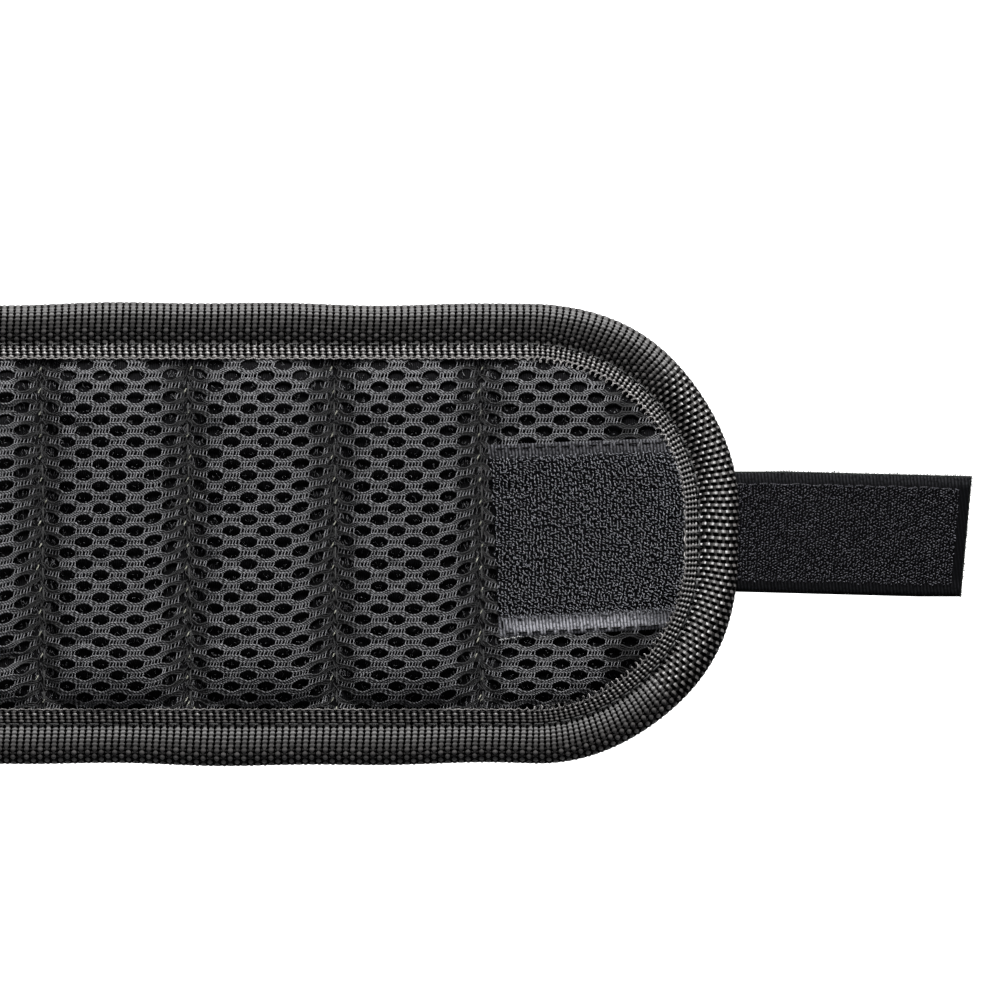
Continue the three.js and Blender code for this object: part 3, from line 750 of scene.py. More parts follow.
def threads(name, lines, radius, sides, material, thickness=None):
    """One object of round threads along lines of places. Thickness holds a share for each of their places."""
    points = np.concatenate(lines)
    counts = [len(line) for line in lines]
    starts = np.concatenate([[0], np.cumsum(counts)[:-1]])
    edges = np.concatenate([np.arange(start, start + count - 1) for start, count in zip(starts, counts)])
    mesh = bpy.data.meshes.new(name)
    mesh.from_pydata(points.tolist(), np.stack([edges, edges + 1], -1).tolist(), [])
    store(mesh, "thickness", np.ones(len(points)) if thickness is None else np.concatenate(thickness))
    return grown(linked(name, mesh), thread_tree, thread_radius=radius, sides=sides, finish=material)


def small_shape(name, profile, wire, material):
    """A short bent wire, standing on Z and bent along X, given in millimetres."""
    line = np.array([(along, 0, up) for along, up in profile], float) * MM
    return threads(name, [line], wire * MM, 3, material)


def stood(name, spots, shape, material, seed, upside_down=False, size=1.0, size_change=0.0, turn=0.0,
          turn_change=0.0, lean=0.0):
    """One object of copies of a small shape that stand on these spots."""
    mesh = bpy.data.meshes.new(name)
    mesh.from_pydata(np.asarray(spots).tolist(), [], [])
    made = linked(name, mesh)
    if upside_down:
        shape.data.transform(Matrix.Rotation(math.pi, 4, "X"))
    grown(made, standing_tree, shape=shape, size=size, size_change=size_change, turn=turn,
          turn_change=turn_change, lean=lean, seed=seed, finish=material)
    if upside_down:
        shape.data.transform(Matrix.Rotation(math.pi, 4, "X"))
    return made


# Finishes


finishes = {}

# The binding's yarns: how light thin ones are beside thick ones, and how their plies twist
THIN_YARN_LIGHT = 0.32
PLY_TURNS = 26.0
PLY_SLANT = 7.0
# How far round the ends the middle of a float's painted highlight lies behind its yarn's middle, in yarns
LIT_SIDE_SHIFT = 0.2


def finish(name, builder):
    """The material of that name, built the first time it is asked for."""
    if name not in finishes:
        material = bpy.data.materials.new(name)
        material.use_nodes = True
        builder(material.node_tree, material.node_tree.nodes["Principled BSDF"])
        finishes[name] = material
    return finishes[name]


def surface(tree, shader, base, roughness, specular=0.5, sheen=0.0, height=None, depth=0.0):
    """Feeds a shader its colour and gloss, and a bump from height over depth in metres."""
    wanted = {
        "Base Color": base,
        "Roughness": roughness,
        "Specular IOR Level": specular,
        "Sheen Weight": sheen,
        "Sheen Roughness": 0.5,
    }
    if height is not None:
        bump = put(tree, "ShaderNodeBump", {"Height": height, "Distance": depth, "Strength": 1.0})
        wanted["Normal"] = bump.outputs["Normal"]
    feed(tree, shader, wanted)


def mixed(tree, share, first, second):
    """A colour between two colours or sockets."""
    return put(tree, "ShaderNodeMix", {0: share, 6: first, 7: second}, data_type="RGBA").outputs[2]


def between(share, first, second):
    """A number between two numbers."""
    node = put(share.tree, "ShaderNodeMix", {0: share, 2: first, 3: second})
    return Value(share.tree, node.outputs[0])


def smooth_step(value, start, end):
    """0 to 1 as value goes from start to end."""
    inputs = {0: value, 1: start, 2: end}
    node = put(value.tree, "ShaderNodeMapRange", inputs, interpolation_type="SMOOTHSTEP")
    return Value(value.tree, node.outputs[0])


def point_share(tree, name):
    return Value(tree, put(tree, "ShaderNodeAttribute", attribute_name=name).outputs["Fac"])


def noise(tree, vector, scale):
    node = put(tree, "ShaderNodeTexNoise", {"Vector": vector, "Scale": scale, "Detail": 2.0})
    return Value(tree, node.outputs[0])


def places(tree):
    return put(tree, "ShaderNodeTexCoord").outputs["Object"]


def x_and_y(tree, vector):
    """The first two parts of a vector."""
    node = put(tree, "ShaderNodeSeparateXYZ", {0: vector})
    return [Value(tree, output) for output in node.outputs[:2]]


def toned(shade, share):
    """A colour made darker or lighter."""
    return tuple(min(part * share, 1) for part in shade)


def binding_finish(lip_row):
    """Woven tape: thick yarns across it and thin ones along it, painted near black between them as painted shade, with
    fine plies.

    The piece's UV map counts thick yarns in U and thin ones in V. By its points' bars share the thick
    ones join up to bars, by their pale share they are painted paler, as painted light on the lip where
    it faces the lamp behind, and by their ends share they show as they do round the band's ends, with a
    painted highlight and painted shadow. From lip_row on is the tape's lip.
    """

    def wave(value):
        return (value * math.pi).to("COSINE")

    def build(tree, shader):
        tape = sizes("binding")
        yarns = put(tree, "ShaderNodeUVMap", uv_map="Yarns").outputs[0]
        weft, row = x_and_y(tree, yarns)
        nearest_weft, nearest_row = round(weft), round(row)
        from_weft, from_row = abs(weft - nearest_weft), abs(row - nearest_row)
        on_lip = row.to("GREATER_THAN", lip_row)
        bars = point_share(tree, "bars")
        at_end = point_share(tree, "ends") * (1.0 - on_lip)

        # A thick yarn shows as an oval bead where it passes over a thin one
        every_row = wave(row + row)
        over = between(on_lip * 0.5, wave(row) * wave(nearest_weft), every_row)
        over = between(bars, over, every_row * 0.4 + 0.4)
        under = wave(weft) * wave(nearest_row)
        from_middle = from_weft**2 * 5.0 + (over * -0.46 + 0.46)
        bead = smooth_step(from_middle, 0.92, 0.6)
        line = smooth_step(from_row, 0.27, 0.15) * smooth_step(under, 0.2, -0.4)
        # At the ends a float shows only on its side that faces back to the lamp, as a painted highlight, with painted
        # shadow black below it and a thin yarn above
        facing = weft + LIT_SIDE_SHIFT
        off_float = abs(facing - round(facing))
        on_float = wave(row) * wave(round(facing))
        lit_float_share = smooth_step(off_float, 0.28, 0.15) * smooth_step(on_float, -0.45, 0.0)
        on_strip = wave(row) * wave((facing + LIT_SIDE_SHIFT).to("FLOOR"))
        thick = between(at_end, bead, lit_float_share)
        thin = between(at_end, line, smooth_step(on_strip, -0.25, -0.7) * 0.7)

        # Each bead has its own lightness, twisted plies and a fine grain
        bead_number = put(tree, "ShaderNodeCombineXYZ", {0: nearest_weft, 1: nearest_row}).outputs[0]
        by_bead = put(tree, "ShaderNodeTexWhiteNoise", {"Vector": bead_number}, noise_dimensions="2D")
        chance = Value(tree, by_bead.outputs["Value"])
        # The pale share is painted light on the lip; each bead's chance is its own tone
        light = point_share(tree, "pale") + (chance * 0.3 + 0.3)
        twist = weft * PLY_TURNS + (row * PLY_SLANT + noise(tree, yarns, 3.0) * 4.0)
        ply = twist.to("SINE") * 0.16 + 0.84
        shade = (thick * light).to("MAXIMUM", thin * THIN_YARN_LIGHT)
        shade = shade * ply * (noise(tree, yarns, 9.0) + 0.5)
        # On the bars the yarns are darker; round the ends they are painted lighter, a painted highlight
        shade = shade * (bars * -0.38 + (at_end * 0.35 + 1.0))
        # The crease where the lip begins is painted black, as painted shade
        shade = shade * smooth_step(abs(row - lip_row), 0.15, 0.6)
        # Where shade is 0 the colour is the painted shade between the yarns
        base = mixed(tree, shade, tape.gap_shade_colour, tape.yarn_colour)

        risen = (from_weft**2 * -4.0 + 1.0) * (over * 0.12 + 0.88)
        height = ply * 0.15 + risen.to("MAXIMUM", thin * 0.7)
        gloss = smooth_step(thick, 0.1, 0.7) * (bars * -0.25 + 0.28)
        surface(tree, shader, base, 0.7 - gloss, specular=1.0, height=height, depth=0.15 * MM)
        # A thick yarn's fine fibres run along it, so its gloss spreads round it and stays narrow along it
        round_yarn = put(tree, "ShaderNodeTangent", direction_type="UV_MAP", uv_map="Yarns")
        feed(tree, shader, {"IOR": 1.55, "Anisotropic": 0.9, "Tangent": round_yarn.outputs[0]})
        # Between the yarns a black metal neither scatters nor mirrors, as painted shade
        shown = smooth_step(thin * 0.3 + thick, 0.1, 0.6)
        feed(tree, shader, {"Metallic": 1.0 - shown})

    return finish("binding_tape", build)


def plastic_finish(name, shade):
    """Moulded thread of the hooks: smooth, with a faint cloudiness."""

    def build(tree, shader):
        cloudy = noise(tree, places(tree), 700.0)
        base = mixed(tree, cloudy, toned(shade, 0.7), toned(shade, 1.3))
        surface(tree, shader, base, 0.35, height=cloudy, depth=0.03 * MM)

    return finish(name, build)


def yarn_finish(name, shade, strand=0.5 * MM, roughness=0.55, specular=0.35, seam_shade_reach=0.0):
    """Knitted or sewn yarn: slanting strands along each thread, with painted shade within seam_shade_reach of a seam.
    """

    def build(tree, shader):
        place = places(tree)
        x, y = x_and_y(tree, place)
        phase = (point_share(tree, "gone") / strand + y / strand) * (2 * math.pi)
        strands = phase.to("SINE") * 0.5 + 0.5
        cloudy = noise(tree, place, 900.0)
        share = smooth_step(strands, 0.15, 0.85) * (cloudy * 1.5)
        if seam_shade_reach:
            # Painted shade: darker close to each seam, where the mesh is sewn down into a hollow
            from_seam = (x - seam_x[0]).to("PINGPONG", half_pitch)
            out_of_seam_shade = smooth_step(from_seam, 0.2 * MM, seam_shade_reach)
            share = share * out_of_seam_shade + (out_of_seam_shade * 0.6 - 0.6)
        base = mixed(tree, share, toned(shade, 0.12), toned(shade, 2.7))
        surface(tree, shader, base, roughness, specular, 0.1, strands + cloudy, 0.08 * MM)

    return finish(name, build)


def plain_cloth_finish(name, shade, pitch):
    """Plain weave on the piece's own coordinates, a little lighter on its raised places."""

    def build(tree, shader):
        place = places(tree)
        along, across = [(part * (math.pi / pitch)).to("SINE") for part in x_and_y(tree, place)]
        checks = abs(along * across)
        height = checks + noise(tree, place, 2500.0) * 0.5
        share = checks * noise(tree, place, 60.0)
        base = mixed(tree, share, toned(shade, 0.6), toned(shade, 1.5))
        surface(tree, shader, base, 0.8, 0.15, 0.05, height, 0.12 * MM)

    return finish(name, build)


def knit_finish(name, shade, pitch=0.4 * MM, roughness=0.8):
    """Fine upright ribs of a knitted tape, broken by noise, and lighter by its points' worn share."""

    def build(tree, shader):
        place = places(tree)
        x, y = x_and_y(tree, place)
        ribs = ((y * 0.12 + x) * (2 * math.pi / pitch)).to("SINE")
        grain = noise(tree, place, 2300.0)
        share = (ribs * 0.45 + 0.55) * smooth_step(grain, 0.25, 0.6)
        base = mixed(tree, share, toned(shade, 0.5), toned(shade, 2.2))
        worn = point_share(tree, "worn")
        # Over 1 the whole ground is worn too
        all_over = (worn - 1.0).to("MAXIMUM", 0.0)
        base = mixed(tree, worn * share + all_over, base, sizes("tape").worn_colour)
        surface(tree, shader, base, roughness, specular=0.06, height=ribs + grain, depth=0.06 * MM)

    return finish(name, build)


# The lining's surface


lining = {"shift": None}
PINNED_NEAR_SEAM = 1.0 * MM
SIMULATED_STEP = 1.5 * MM
SIMULATED_FRAMES = 20
LARGEST_SHIFT = 0.6 * MM
PATCH_ROW = 23.9 * MM
PATCH_OVERLAP = 1.2 * MM
PATCH_END_BLEND = 4 * MM
GROOVE_WIDTH = 1.5 * MM
THINNEST_LINING = 0.5 * MM
THINNEST_PADDING = 0.25 * MM
CARRIER_MARGIN = 1.2 * MM
GROOVE_DEPTH_SHARE = 0.4
# The solver works best on a sheet of some metres
SIMULATED_SCALE = 10


def open_inset():
    """Distance from the band's edge to where the lining is free of the binding."""
    return sizes("binding").width + 0.1 * MM


def patch_groove(x, y):
    """1 on the stitch rows that sew the loop patch through the lining, falling to 0 beside them."""
    patch_left = node_box("left_end_loop_patch")[0][0]
    patch_right = node_box("pocket_2_loop_patch")[1][0]
    on_patch = ramp(x - patch_left, PATCH_END_BLEND) * ramp(patch_right - x, PATCH_END_BLEND)
    return on_patch * np.exp(-(((np.abs(y) - PATCH_ROW) / GROOVE_WIDTH) ** 2))


def under_hook_patch(x, y):
    """Whether the hook patch covers a place of the lining."""
    low, high = node_box("right_end_hook_patch")
    return (x > low[0] + PATCH_OVERLAP) & (np.abs(y) < high[1] - PATCH_OVERLAP)


def crowned(x, y):
    """Height of the lining's upper face as it is sewn: down at seams and edge, crowned between them."""
    band = sizes("band")
    sewn = lining_bottom + band.sewn_thickness
    shares = body_shares(x)
    at_end = shares[CHAIN[0]] | shares[CHAIN[-1]]
    reach = np.where(at_end, band.end_crown_reach, band.crown_reach)
    seam_reach = np.where(at_end, band.end_crown_reach, half_pitch - PINNED_NEAR_SEAM)
    rise = bow(seam_distance(x) - PINNED_NEAR_SEAM, seam_reach) * bow(inset(x, y) - open_inset(), reach)
    top = by_body(x, crown_top)
    return sewn + (top - sewn) * rise * (1 - GROOVE_DEPTH_SHARE * patch_groove(x, y))


def plain(tree, shader):
    """Leaves a finish as it is, for a sheet that never shows."""


def simulated_shift():
    """How far air pressure lifts the sewn lining from its plain crown, on an even grid of places."""
    xs = np.arange(band_left, band_right + SIMULATED_STEP, SIMULATED_STEP)
    ys = np.arange(-half_width, half_width + SIMULATED_STEP, SIMULATED_STEP)
    x, y = np.meshgrid(xs, ys, indexing="ij")
    points = joined(x, y, crowned(x, y)).reshape(-1, 3)
    faces = grid_faces(len(xs), len(ys))
    sheet = mesh_object("lining_sheet", points * SIMULATED_SCALE, faces, finish("sheet", plain))
    held = (inset(x, y) < open_inset() + PINNED_NEAR_SEAM) | (seam_distance(x) < PINNED_NEAR_SEAM)
    held = held | (patch_groove(x, y) > 0.8)
    pins = sheet.vertex_groups.new(name="held")
    pins.add(np.flatnonzero(held.ravel()).tolist(), 1.0, "REPLACE")
    cloth = sheet.modifiers.new("Cloth", "CLOTH")
    settings = cloth.settings
    settings.vertex_group_mass = "held"
    settings.quality = 5
    settings.mass = 0.3
    settings.tension_stiffness = 12
    settings.compression_stiffness = 12
    settings.bending_stiffness = 0.3
    settings.shrink_min = -0.03
    settings.use_pressure = True
    settings.uniform_pressure_force = 2.5
    settings.effector_weights.gravity = 0
    cloth.point_cache.frame_start = 1
    cloth.point_cache.frame_end = SIMULATED_FRAMES
    scene = bpy.context.scene
    for number in range(1, SIMULATED_FRAMES + 1):
        scene.frame_set(number)
    evaluated = sheet.evaluated_get(bpy.context.evaluated_depsgraph_get())
    places_now = np.zeros(len(points) * 3)
    evaluated.data.vertices.foreach_get("co", places_now)
    shift = places_now.reshape(-1, 3)[:, 2] / SIMULATED_SCALE - points[:, 2]
    scene.frame_set(1)
    bpy.data.objects.remove(sheet)
    return xs, ys, np.clip(shift, -LARGEST_SHIFT, LARGEST_SHIFT).reshape(x.shape)


def grid_value(xs, ys, values, x, y):
    """Value between the places of an even grid."""
    along = np.clip((x - xs[0]) / (xs[1] - xs[0]), 0, len(xs) - 1.001)
    across = np.clip((y - ys[0]) / (ys[1] - ys[0]), 0, len(ys) - 1.001)
    i, j = along.astype(int), across.astype(int)
    a, b = along - i, across - j
    return (
        values[i, j] * (1 - a) * (1 - b) + values[i + 1, j] * a * (1 - b)
        + values[i, j + 1] * (1 - a) * b + values[i + 1, j + 1] * a * b
    )


def lining_top(x, y):
    """Height of the lining's upper face."""
    height = crowned(x, y)
    if lining["shift"] is not None:
        height = height + grid_value(*lining["shift"], x, y)
    return np.maximum(height, lining_bottom + THINNEST_LINING)


def padding_top(x, y):
    """Height of the padding that shows through the mesh's holes."""
    sewn = lining_bottom + sizes("band").sewn_thickness
    carrier_room = padding_bottom(x, y) + THINNEST_PADDING
    risen = (lining_top(x, y) - sewn) * sizes("net").depth_share
    return np.maximum(lining_bottom + 0.12 * MM + risen, carrier_room)


def over_box(x, y, low, high, margin, reach):
    """1 over a box with a margin round it, rising from 0 over reach from the margin's border."""
    room = 1
    for values, start, end in ((x, low[0], high[0]), (y, low[1], high[1])):
        room = room * ramp(np.minimum(values - start, end - values) + margin, reach)
    return room


def padding_bottom(x, y):
    """The padding lies on the outer cloth and over the magnets' carriers."""
    height = np.full(np.shape(x), lining_bottom)
    for low, high in carrier_box.values():
        room = over_box(x, y, low, high, CARRIER_MARGIN, 1.0 * MM)
        height = height + room * max(high[2] + 0.1 * MM - lining_bottom, 0)
    return height


def laid_grid(left, right, edge_inset, step):
    """Places of a sheet over a stretch of the band: columns along X, each across the outline there."""
    radius = sizes("band").corner_radius
    columns = set(np.round(np.linspace(left, right, max(2, round((right - left) / step) + 1)), 7))
    for sign, tip in ((-1, band_left), (1, band_right)):
        if not left <= tip <= right:
            continue
        columns = {x for x in columns if sign * (x - tip) < -radius}
        turns = np.linspace(0, math.pi / 2, round(radius * math.pi / 2 / step))
        centre = tip - sign * radius
        columns |= set(np.round(centre + sign * (radius - edge_inset) * np.sin(turns), 7))
    xs = np.array(sorted(columns))
    across = np.linspace(-1, 1, round(2 * (half_width - edge_inset) / step) + 1)
    x = np.repeat(xs[:, None], len(across), 1)
    return x, half_width_at(x, edge_inset) * across


# Places of the tapes


PATCH_LIFT = 0.2 * MM
TAB_FOLD_REACH = 3.6 * MM
TAB_GROUND = 0.45 * MM
UPPER_TAB_SELVAGE = 2.3 * MM
TAB_BACKING_EDGE = 0.35 * MM
TAB_SIDE_MARGIN = 0.9 * MM
TAB_CLEARANCE = 0.04 * MM


def over_tab(solid):
    """Lifts places of the edge tape clear of the tab that passes under it."""
    x, y, z = solid[..., 0], solid[..., 1], solid[..., 2]
    beside = ramp(tab_half_width + TAB_SIDE_MARGIN - np.abs(y), 0.5 * MM) * (x > tab_root_low[0])
    clear = tab_root_high[2] + TAB_CLEARANCE
    solid[..., 2] = np.maximum(z, clear * beside)
    return solid


def patch_plan(along, across):
    """Place on the hook patch: along it from its left edge, and across it from its lower edge, as shares."""
    corners = [np.array(from_photo(*spot)) for spot in HOOK_PATCH_PIXELS]
    upper_left, upper_right, lower_left, lower_right = corners
    start = lower_left + (upper_left - lower_left) * across[..., None]
    slopes = [
        (right[1] - left[1]) / (right[0] - left[0])
        for left, right in ((lower_left, lower_right), (upper_left, upper_right))
    ]
    slope = slopes[0] + (slopes[1] - slopes[0]) * across
    radius = sizes("band").corner_radius
    inner = radius - sizes("binding").width + 0.3 * MM
    level = start[..., 1] + slope * (upper_right[0] - start[..., 0])
    past_side = np.clip(np.abs(level) - (half_width - radius), 0, inner)
    end = band_right - radius + np.sqrt(inner**2 - past_side**2)
    x = start[..., 0] + (end - start[..., 0]) * along
    return x, start[..., 1] + slope * (x - start[..., 0])


def tab_plan(along, across, border=0.0):
    """Place on the tab by shares along and across it. It narrows by border at its sides and end."""
    left = tab_root_low[0]
    upper_start, upper_end, lower_start, lower_end = [np.array(from_photo(*spot)) for spot in TAB_PIXELS]

    def side(start, end, shift, tip):
        slope = (end[1] - start[1]) / (end[0] - start[0])
        x = left + (tip - border - left) * along
        return x, np.clip(start[1] + slope * (x - start[0]), -tab_half_width, tab_half_width) + shift

    upper = side(upper_start, upper_end, -border, tab_tip)
    lower = side(lower_start, lower_end, border, tab_tip - (upper_end[0] - lower_end[0]))
    return [low + (high - low) * across for low, high in zip(lower, upper)]


def fold_with_tab(piece, slot, *nodes):
    """Bends a finished piece at the tab's fold. It has that material slot and stands for those CAD nodes."""
    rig.replaces(piece, *nodes)
    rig.slot(piece, slot)
    ends = [(tab_fold_x + side * TAB_FOLD_REACH, 0, tab_fold_z) for side in (-1, 1)]
    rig.blend(piece, "right_end", "tab", start=ends[0], end=ends[1])


# Operators


class PieceOperator(bpy.types.Operator):
    """Shared settings of the operators that make pieces."""

    bl_options = {"REGISTER", "UNDO"}

    def execute(self, context):
        self.make()
        return {"FINISHED"}


class WRISTBAND_OT_padding(PieceOperator):
    """Blow up the sewn lining as cloth, and make the dark padding that shows through its holes"""

    bl_idname = "wristband.padding"
    bl_label = "Padding"

    UNDER_BINDING = 1.2 * MM
    STEP = 1.0 * MM

    def make(self):
        lining["shift"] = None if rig.quick() else simulated_shift()
        material = knit_finish("padding", sizes("net").padding_colour)
        for stretch in stretches():
            edge_inset = sizes("binding").width - self.UNDER_BINDING
            x, y = laid_grid(stretch.left, stretch.right, edge_inset, self.STEP)
            top, bottom = padding_top(x, y), padding_bottom(x, y)
            pad = slab(f"padding_{stretch.number}", x, y, top, bottom, material)
            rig.padded(pad, fill=0.5)
            stretch.sew_in(pad, "lining_mesh", "mesh_lining")


class WRISTBAND_OT_net(PieceOperator):
    """Knit the lining's mesh: ribs of three cords round the holes, ties, pile and seam gathers"""

    bl_idname = "wristband.net"
    bl_label = "Mesh lining"

    def make(self):
        net = sizes("net")
        cords = yarn_finish("net_cord", net.cord_colour, strand=0.7 * MM, specular=0.25, seam_shade_reach=6.5 * MM)
        ties = yarn_finish("net_tie", toned(net.cord_colour, 2.6), strand=0.3 * MM, seam_shade_reach=1.6 * MM)
        pile = yarn_finish("pile_fibre", net.fibre_colour, strand=0.5 * MM, roughness=0.45)
        random = np.random.default_rng(11)
        for stretch in stretches():
            knitted = Knit(stretch)
            ribs, thickness = knitted.ribs()
            number = stretch.number
            made = [
                threads(f"mesh_ribs_{number}", ribs, net.cord_radius, 5, cords, thickness),
                threads(f"mesh_ties_{number}", knitted.ties(random), net.tie_radius, 4, ties),
                threads(f"mesh_pile_{number}", knitted.pile(random), net.fibre_radius, 3, pile),
                threads(f"mesh_gathers_{number}", knitted.gathers(random), net.tie_radius, 3, ties),
            ]
            for piece in made:
                stretch.sew_in(piece, "lining_mesh")


class Knit:
    """The mesh of one stretch: its ribs, the ties at their nodes, the pile in its holes and its gathers."""

    STEPS_PER_HOLE = 16
    HIDDEN_EDGE = 1.0 * MM
    SEAM_GATHER_SHARE = 0.3
    SEAM_GATHER_REACH = 2.6 * MM
    KNOWN_ROW = 7
    TIE_PLACES = np.array([-1.5, -0.9, -0.3, 0.3, 0.9, 1.5]) * MM
    FEWEST_FIBRES = 3
    MOST_FIBRES = 9
    SEWN_REACH = 1.0 * MM
    PILE_REACH = 4.0 * MM
    LEFT_RISE_REACH = 5 * MM
    RIGHT_RISE_REACH = 9.5 * MM
    GATHER_REACH = 1.0 * MM
    GATHER_PITCH = 0.5 * MM

    def __init__(self, stretch):
        self.stretch = stretch
        self.net = sizes("net")
        fine = np.arange(band_left - 5 * MM, band_right + 5 * MM, 0.1 * MM)
        gather = 1 + self.SEAM_GATHER_SHARE * by_seam(fine, self.SEAM_GATHER_REACH)
        self.fine = fine
        self.pattern = np.concatenate([[0], np.cumsum((gather[1:] + gather[:-1]) / 2 * np.diff(fine))])
        known_x, known_y = from_photo(*HOLE_PIXEL)
        self.row_start = known_y - self.KNOWN_ROW * self.net.row_pitch
        self.hole_start = self.to_pattern(known_x) - self.KNOWN_ROW % 2 * self.net.hole_pitch / 2
        rows = half_width / self.net.row_pitch
        self.row_numbers = range(-math.ceil(rows), math.ceil(rows))

    def to_pattern(self, x):
        """Distance along the unsewn mesh."""
        return np.interp(x, self.fine, self.pattern)

    def to_band(self, along):
        return np.interp(along, self.pattern, self.fine)

    def sag(self, x, y):
        """Rows rise towards the seams, more so at the right of a pocket and towards the front edge."""
        from_left = np.min([np.where(x >= seam, x - seam, 1) for seam in seam_x], axis=0)
        to_right = np.min([np.where(x <= seam, seam - x, 1) for seam in seam_x], axis=0)
        left_rise = 0.5 * np.clip(1 - from_left / self.LEFT_RISE_REACH, 0, 1) ** 2
        to_front = 0.3 + 0.9 * ramp(20 * MM - y, 25 * MM)
        right_rise = to_front * np.clip(1 - to_right / self.RIGHT_RISE_REACH, 0, 1) ** 1.6
        return self.net.sag * np.maximum(left_rise, right_rise)

    def level(self, row):
        return self.row_start + row * self.net.row_pitch

    def half_gap(self, row, along):
        """Half the gap between the ribs beside a row of holes: wide at a hole, a slit between holes."""
        pitch = self.net.hole_pitch
        from_hole = (along - self.hole_start - row % 2 * pitch / 2 + pitch / 2) % pitch - pitch / 2
        opening = np.exp(-((np.abs(from_hole) / (0.47 * self.net.hole_length)) ** 4))
        lens = np.clip(1 - np.abs(from_hole) / (0.62 * self.net.hole_length), 0, 1)
        front = ramp(-5 * MM - self.level(row), 20 * MM)
        opening = opening + (lens - opening) * 0.6 * front
        return (self.net.slit + (self.net.hole_width - self.net.slit) * opening) / 2

    def shown(self, x, y):
        clear_of_binding = inset(x, y) > sizes("binding").width - self.HIDDEN_EDGE
        return clear_of_binding & ~under_hook_patch(x, y)

    def ribs(self):
        """Three cords for each rib: two round the holes above and below it and a lower one between them."""
        net = self.net
        step = net.hole_pitch / self.STEPS_PER_HOLE
        count = round((self.stretch.right - self.stretch.left) / step)
        x = np.linspace(self.stretch.left, self.stretch.right, count)
        along = self.to_pattern(x)
        near_seam = by_seam(x, self.SEWN_REACH)
        lines, thickness = [], []
        for row in self.row_numbers:
            lower = self.level(row) + self.half_gap(row, along) + net.cord_radius
            upper = self.level(row + 1) - self.half_gap(row + 1, along) - net.cord_radius
            for share, drop in ((0, 1.0), (0.5, 1.25), (1, 1.0)):
                y = lower + (upper - lower) * share
                y = y + self.sag(x, y)
                z = lining_top(x, y) - net.cord_radius * (drop + near_seam)
                bumps = 0.95 + 0.12 * np.sin(along / (0.19 * MM) + share * 2.6 + row) - 0.35 * near_seam
                keep = self.shown(x, y)
                for run in np.split(np.arange(len(x)), np.flatnonzero(np.diff(keep.astype(int))) + 1):
                    if keep[run[0]] and len(run) > 2:
                        lines.append(joined(x, y, z)[run])
                        thickness.append(bumps[run])
        return lines, thickness

    def cells(self, shift_share):
        """Middles of all the holes (shift share 0) or of the nodes between them (0.5)."""
        left, right = self.to_pattern(np.array([self.stretch.left, self.stretch.right]))
        pitch = self.net.hole_pitch
        found = []
        for row in self.row_numbers:
            offset = self.hole_start + (shift_share + row % 2 / 2) * pitch
            along = np.arange(math.ceil((left - offset) / pitch), (right - offset) / pitch) * pitch + offset
            level = np.full(len(along), self.level(row))
            found.append(np.stack([self.to_band(along), level]))
        x, level = np.concatenate(found, 1)
        y = level + self.sag(x, level)
        keep = self.shown(x, y)
        return x[keep], y[keep]

    def lay(self, xs, ys, drops):
        """Short yarns through these places, each this far below the lining's upper face."""
        return list(joined(xs, ys, lining_top(xs, ys) - drops))

    def ties(self, random):
        """Short slanting yarns that tie neighbouring ribs together at their nodes."""
        x, y = [np.repeat(values, len(self.TIE_PLACES)) for values in self.cells(0.5)]
        count = len(x)
        middle = x + np.resize(self.TIE_PLACES, count) + random.uniform(-0.1, 0.1, count) * MM
        reach = random.uniform(0.5, 0.68, count) * MM
        slant = random.uniform(0.08, 0.22, count) * MM
        shares = np.array([-1, 0, 1])
        xs = middle[:, None] + slant[:, None] * shares
        risen = self.sag(xs, y[:, None]) - self.sag(x, y)[:, None]
        ys = y[:, None] + risen + reach[:, None] * shares
        return self.lay(xs, ys, self.net.cord_radius * np.array([0.6, 0.15, 0.6]))

    def pile(self, random):
        """Fibres between padding and ribs: few in a pocket's middle, many and curved near its seams."""
        x, y = [np.repeat(values, self.MOST_FIBRES) for values in self.cells(0.0)]
        near_seam = by_seam(x, self.PILE_REACH)
        number = np.resize(np.arange(self.MOST_FIBRES), len(x))
        keep = number < self.FEWEST_FIBRES + (self.MOST_FIBRES - self.FEWEST_FIBRES) * near_seam
        x, y, near_seam = x[keep], y[keep], near_seam[keep]
        count = len(x)
        foot_x = x + random.uniform(-1.4, 1.4, count) * MM
        foot_y = y + random.uniform(-0.9, 0.1, count) * MM
        foot = np.stack([foot_x, foot_y], -1)
        head = foot + np.stack([random.uniform(-0.5, 0.5, count), random.uniform(-0.3, 0.7, count)], -1) * MM
        head[:, 1] += 0.9 * MM * near_seam
        middle = (foot + head) / 2 + random.uniform(-0.2, 0.2, (count, 2)) * MM
        plan = np.stack([foot, middle, head], 1)
        low = padding_top(plan[..., 0], plan[..., 1])
        high = lining_top(plan[..., 0], plan[..., 1]) - self.net.cord_radius * 1.4
        share = np.stack([np.zeros(count), np.full(count, 0.55), random.uniform(0.7, 1.0, count)], -1)
        return list(np.concatenate([plan, (low + (high - low) * share)[..., None]], -1))

    def gathers(self, random):
        """Slanting yarns pulled together where the mesh is sewn down, leaning towards the seam."""
        half, pitch = self.GATHER_REACH, self.GATHER_PITCH
        places_by = np.arange(-half, half, pitch) + pitch / 2
        rows, middle = np.meshgrid(np.array(self.row_numbers) + 0.5, places_by, indexing="ij")
        rows, middle = rows.ravel(), middle.ravel()
        count = len(rows)
        x = self.stretch.seam + middle + random.uniform(-0.12, 0.12, count) * MM
        level = self.level(rows) + random.uniform(-0.3, 0.3, count) * MM
        lean = -np.sign(middle) * random.uniform(0.15, 0.4, count) * MM
        reach = random.uniform(0.3, 0.6, count) * MM
        shares = np.array([-1, 0, 1])
        xs = x[:, None] + lean[:, None] * shares
        ys = (level + self.sag(x, level))[:, None] + reach[:, None] * shares
        keep = self.shown(xs, ys).all(axis=1)
        return self.lay(xs[keep], ys[keep], np.array([0.25, 0.02, 0.25]) * MM)


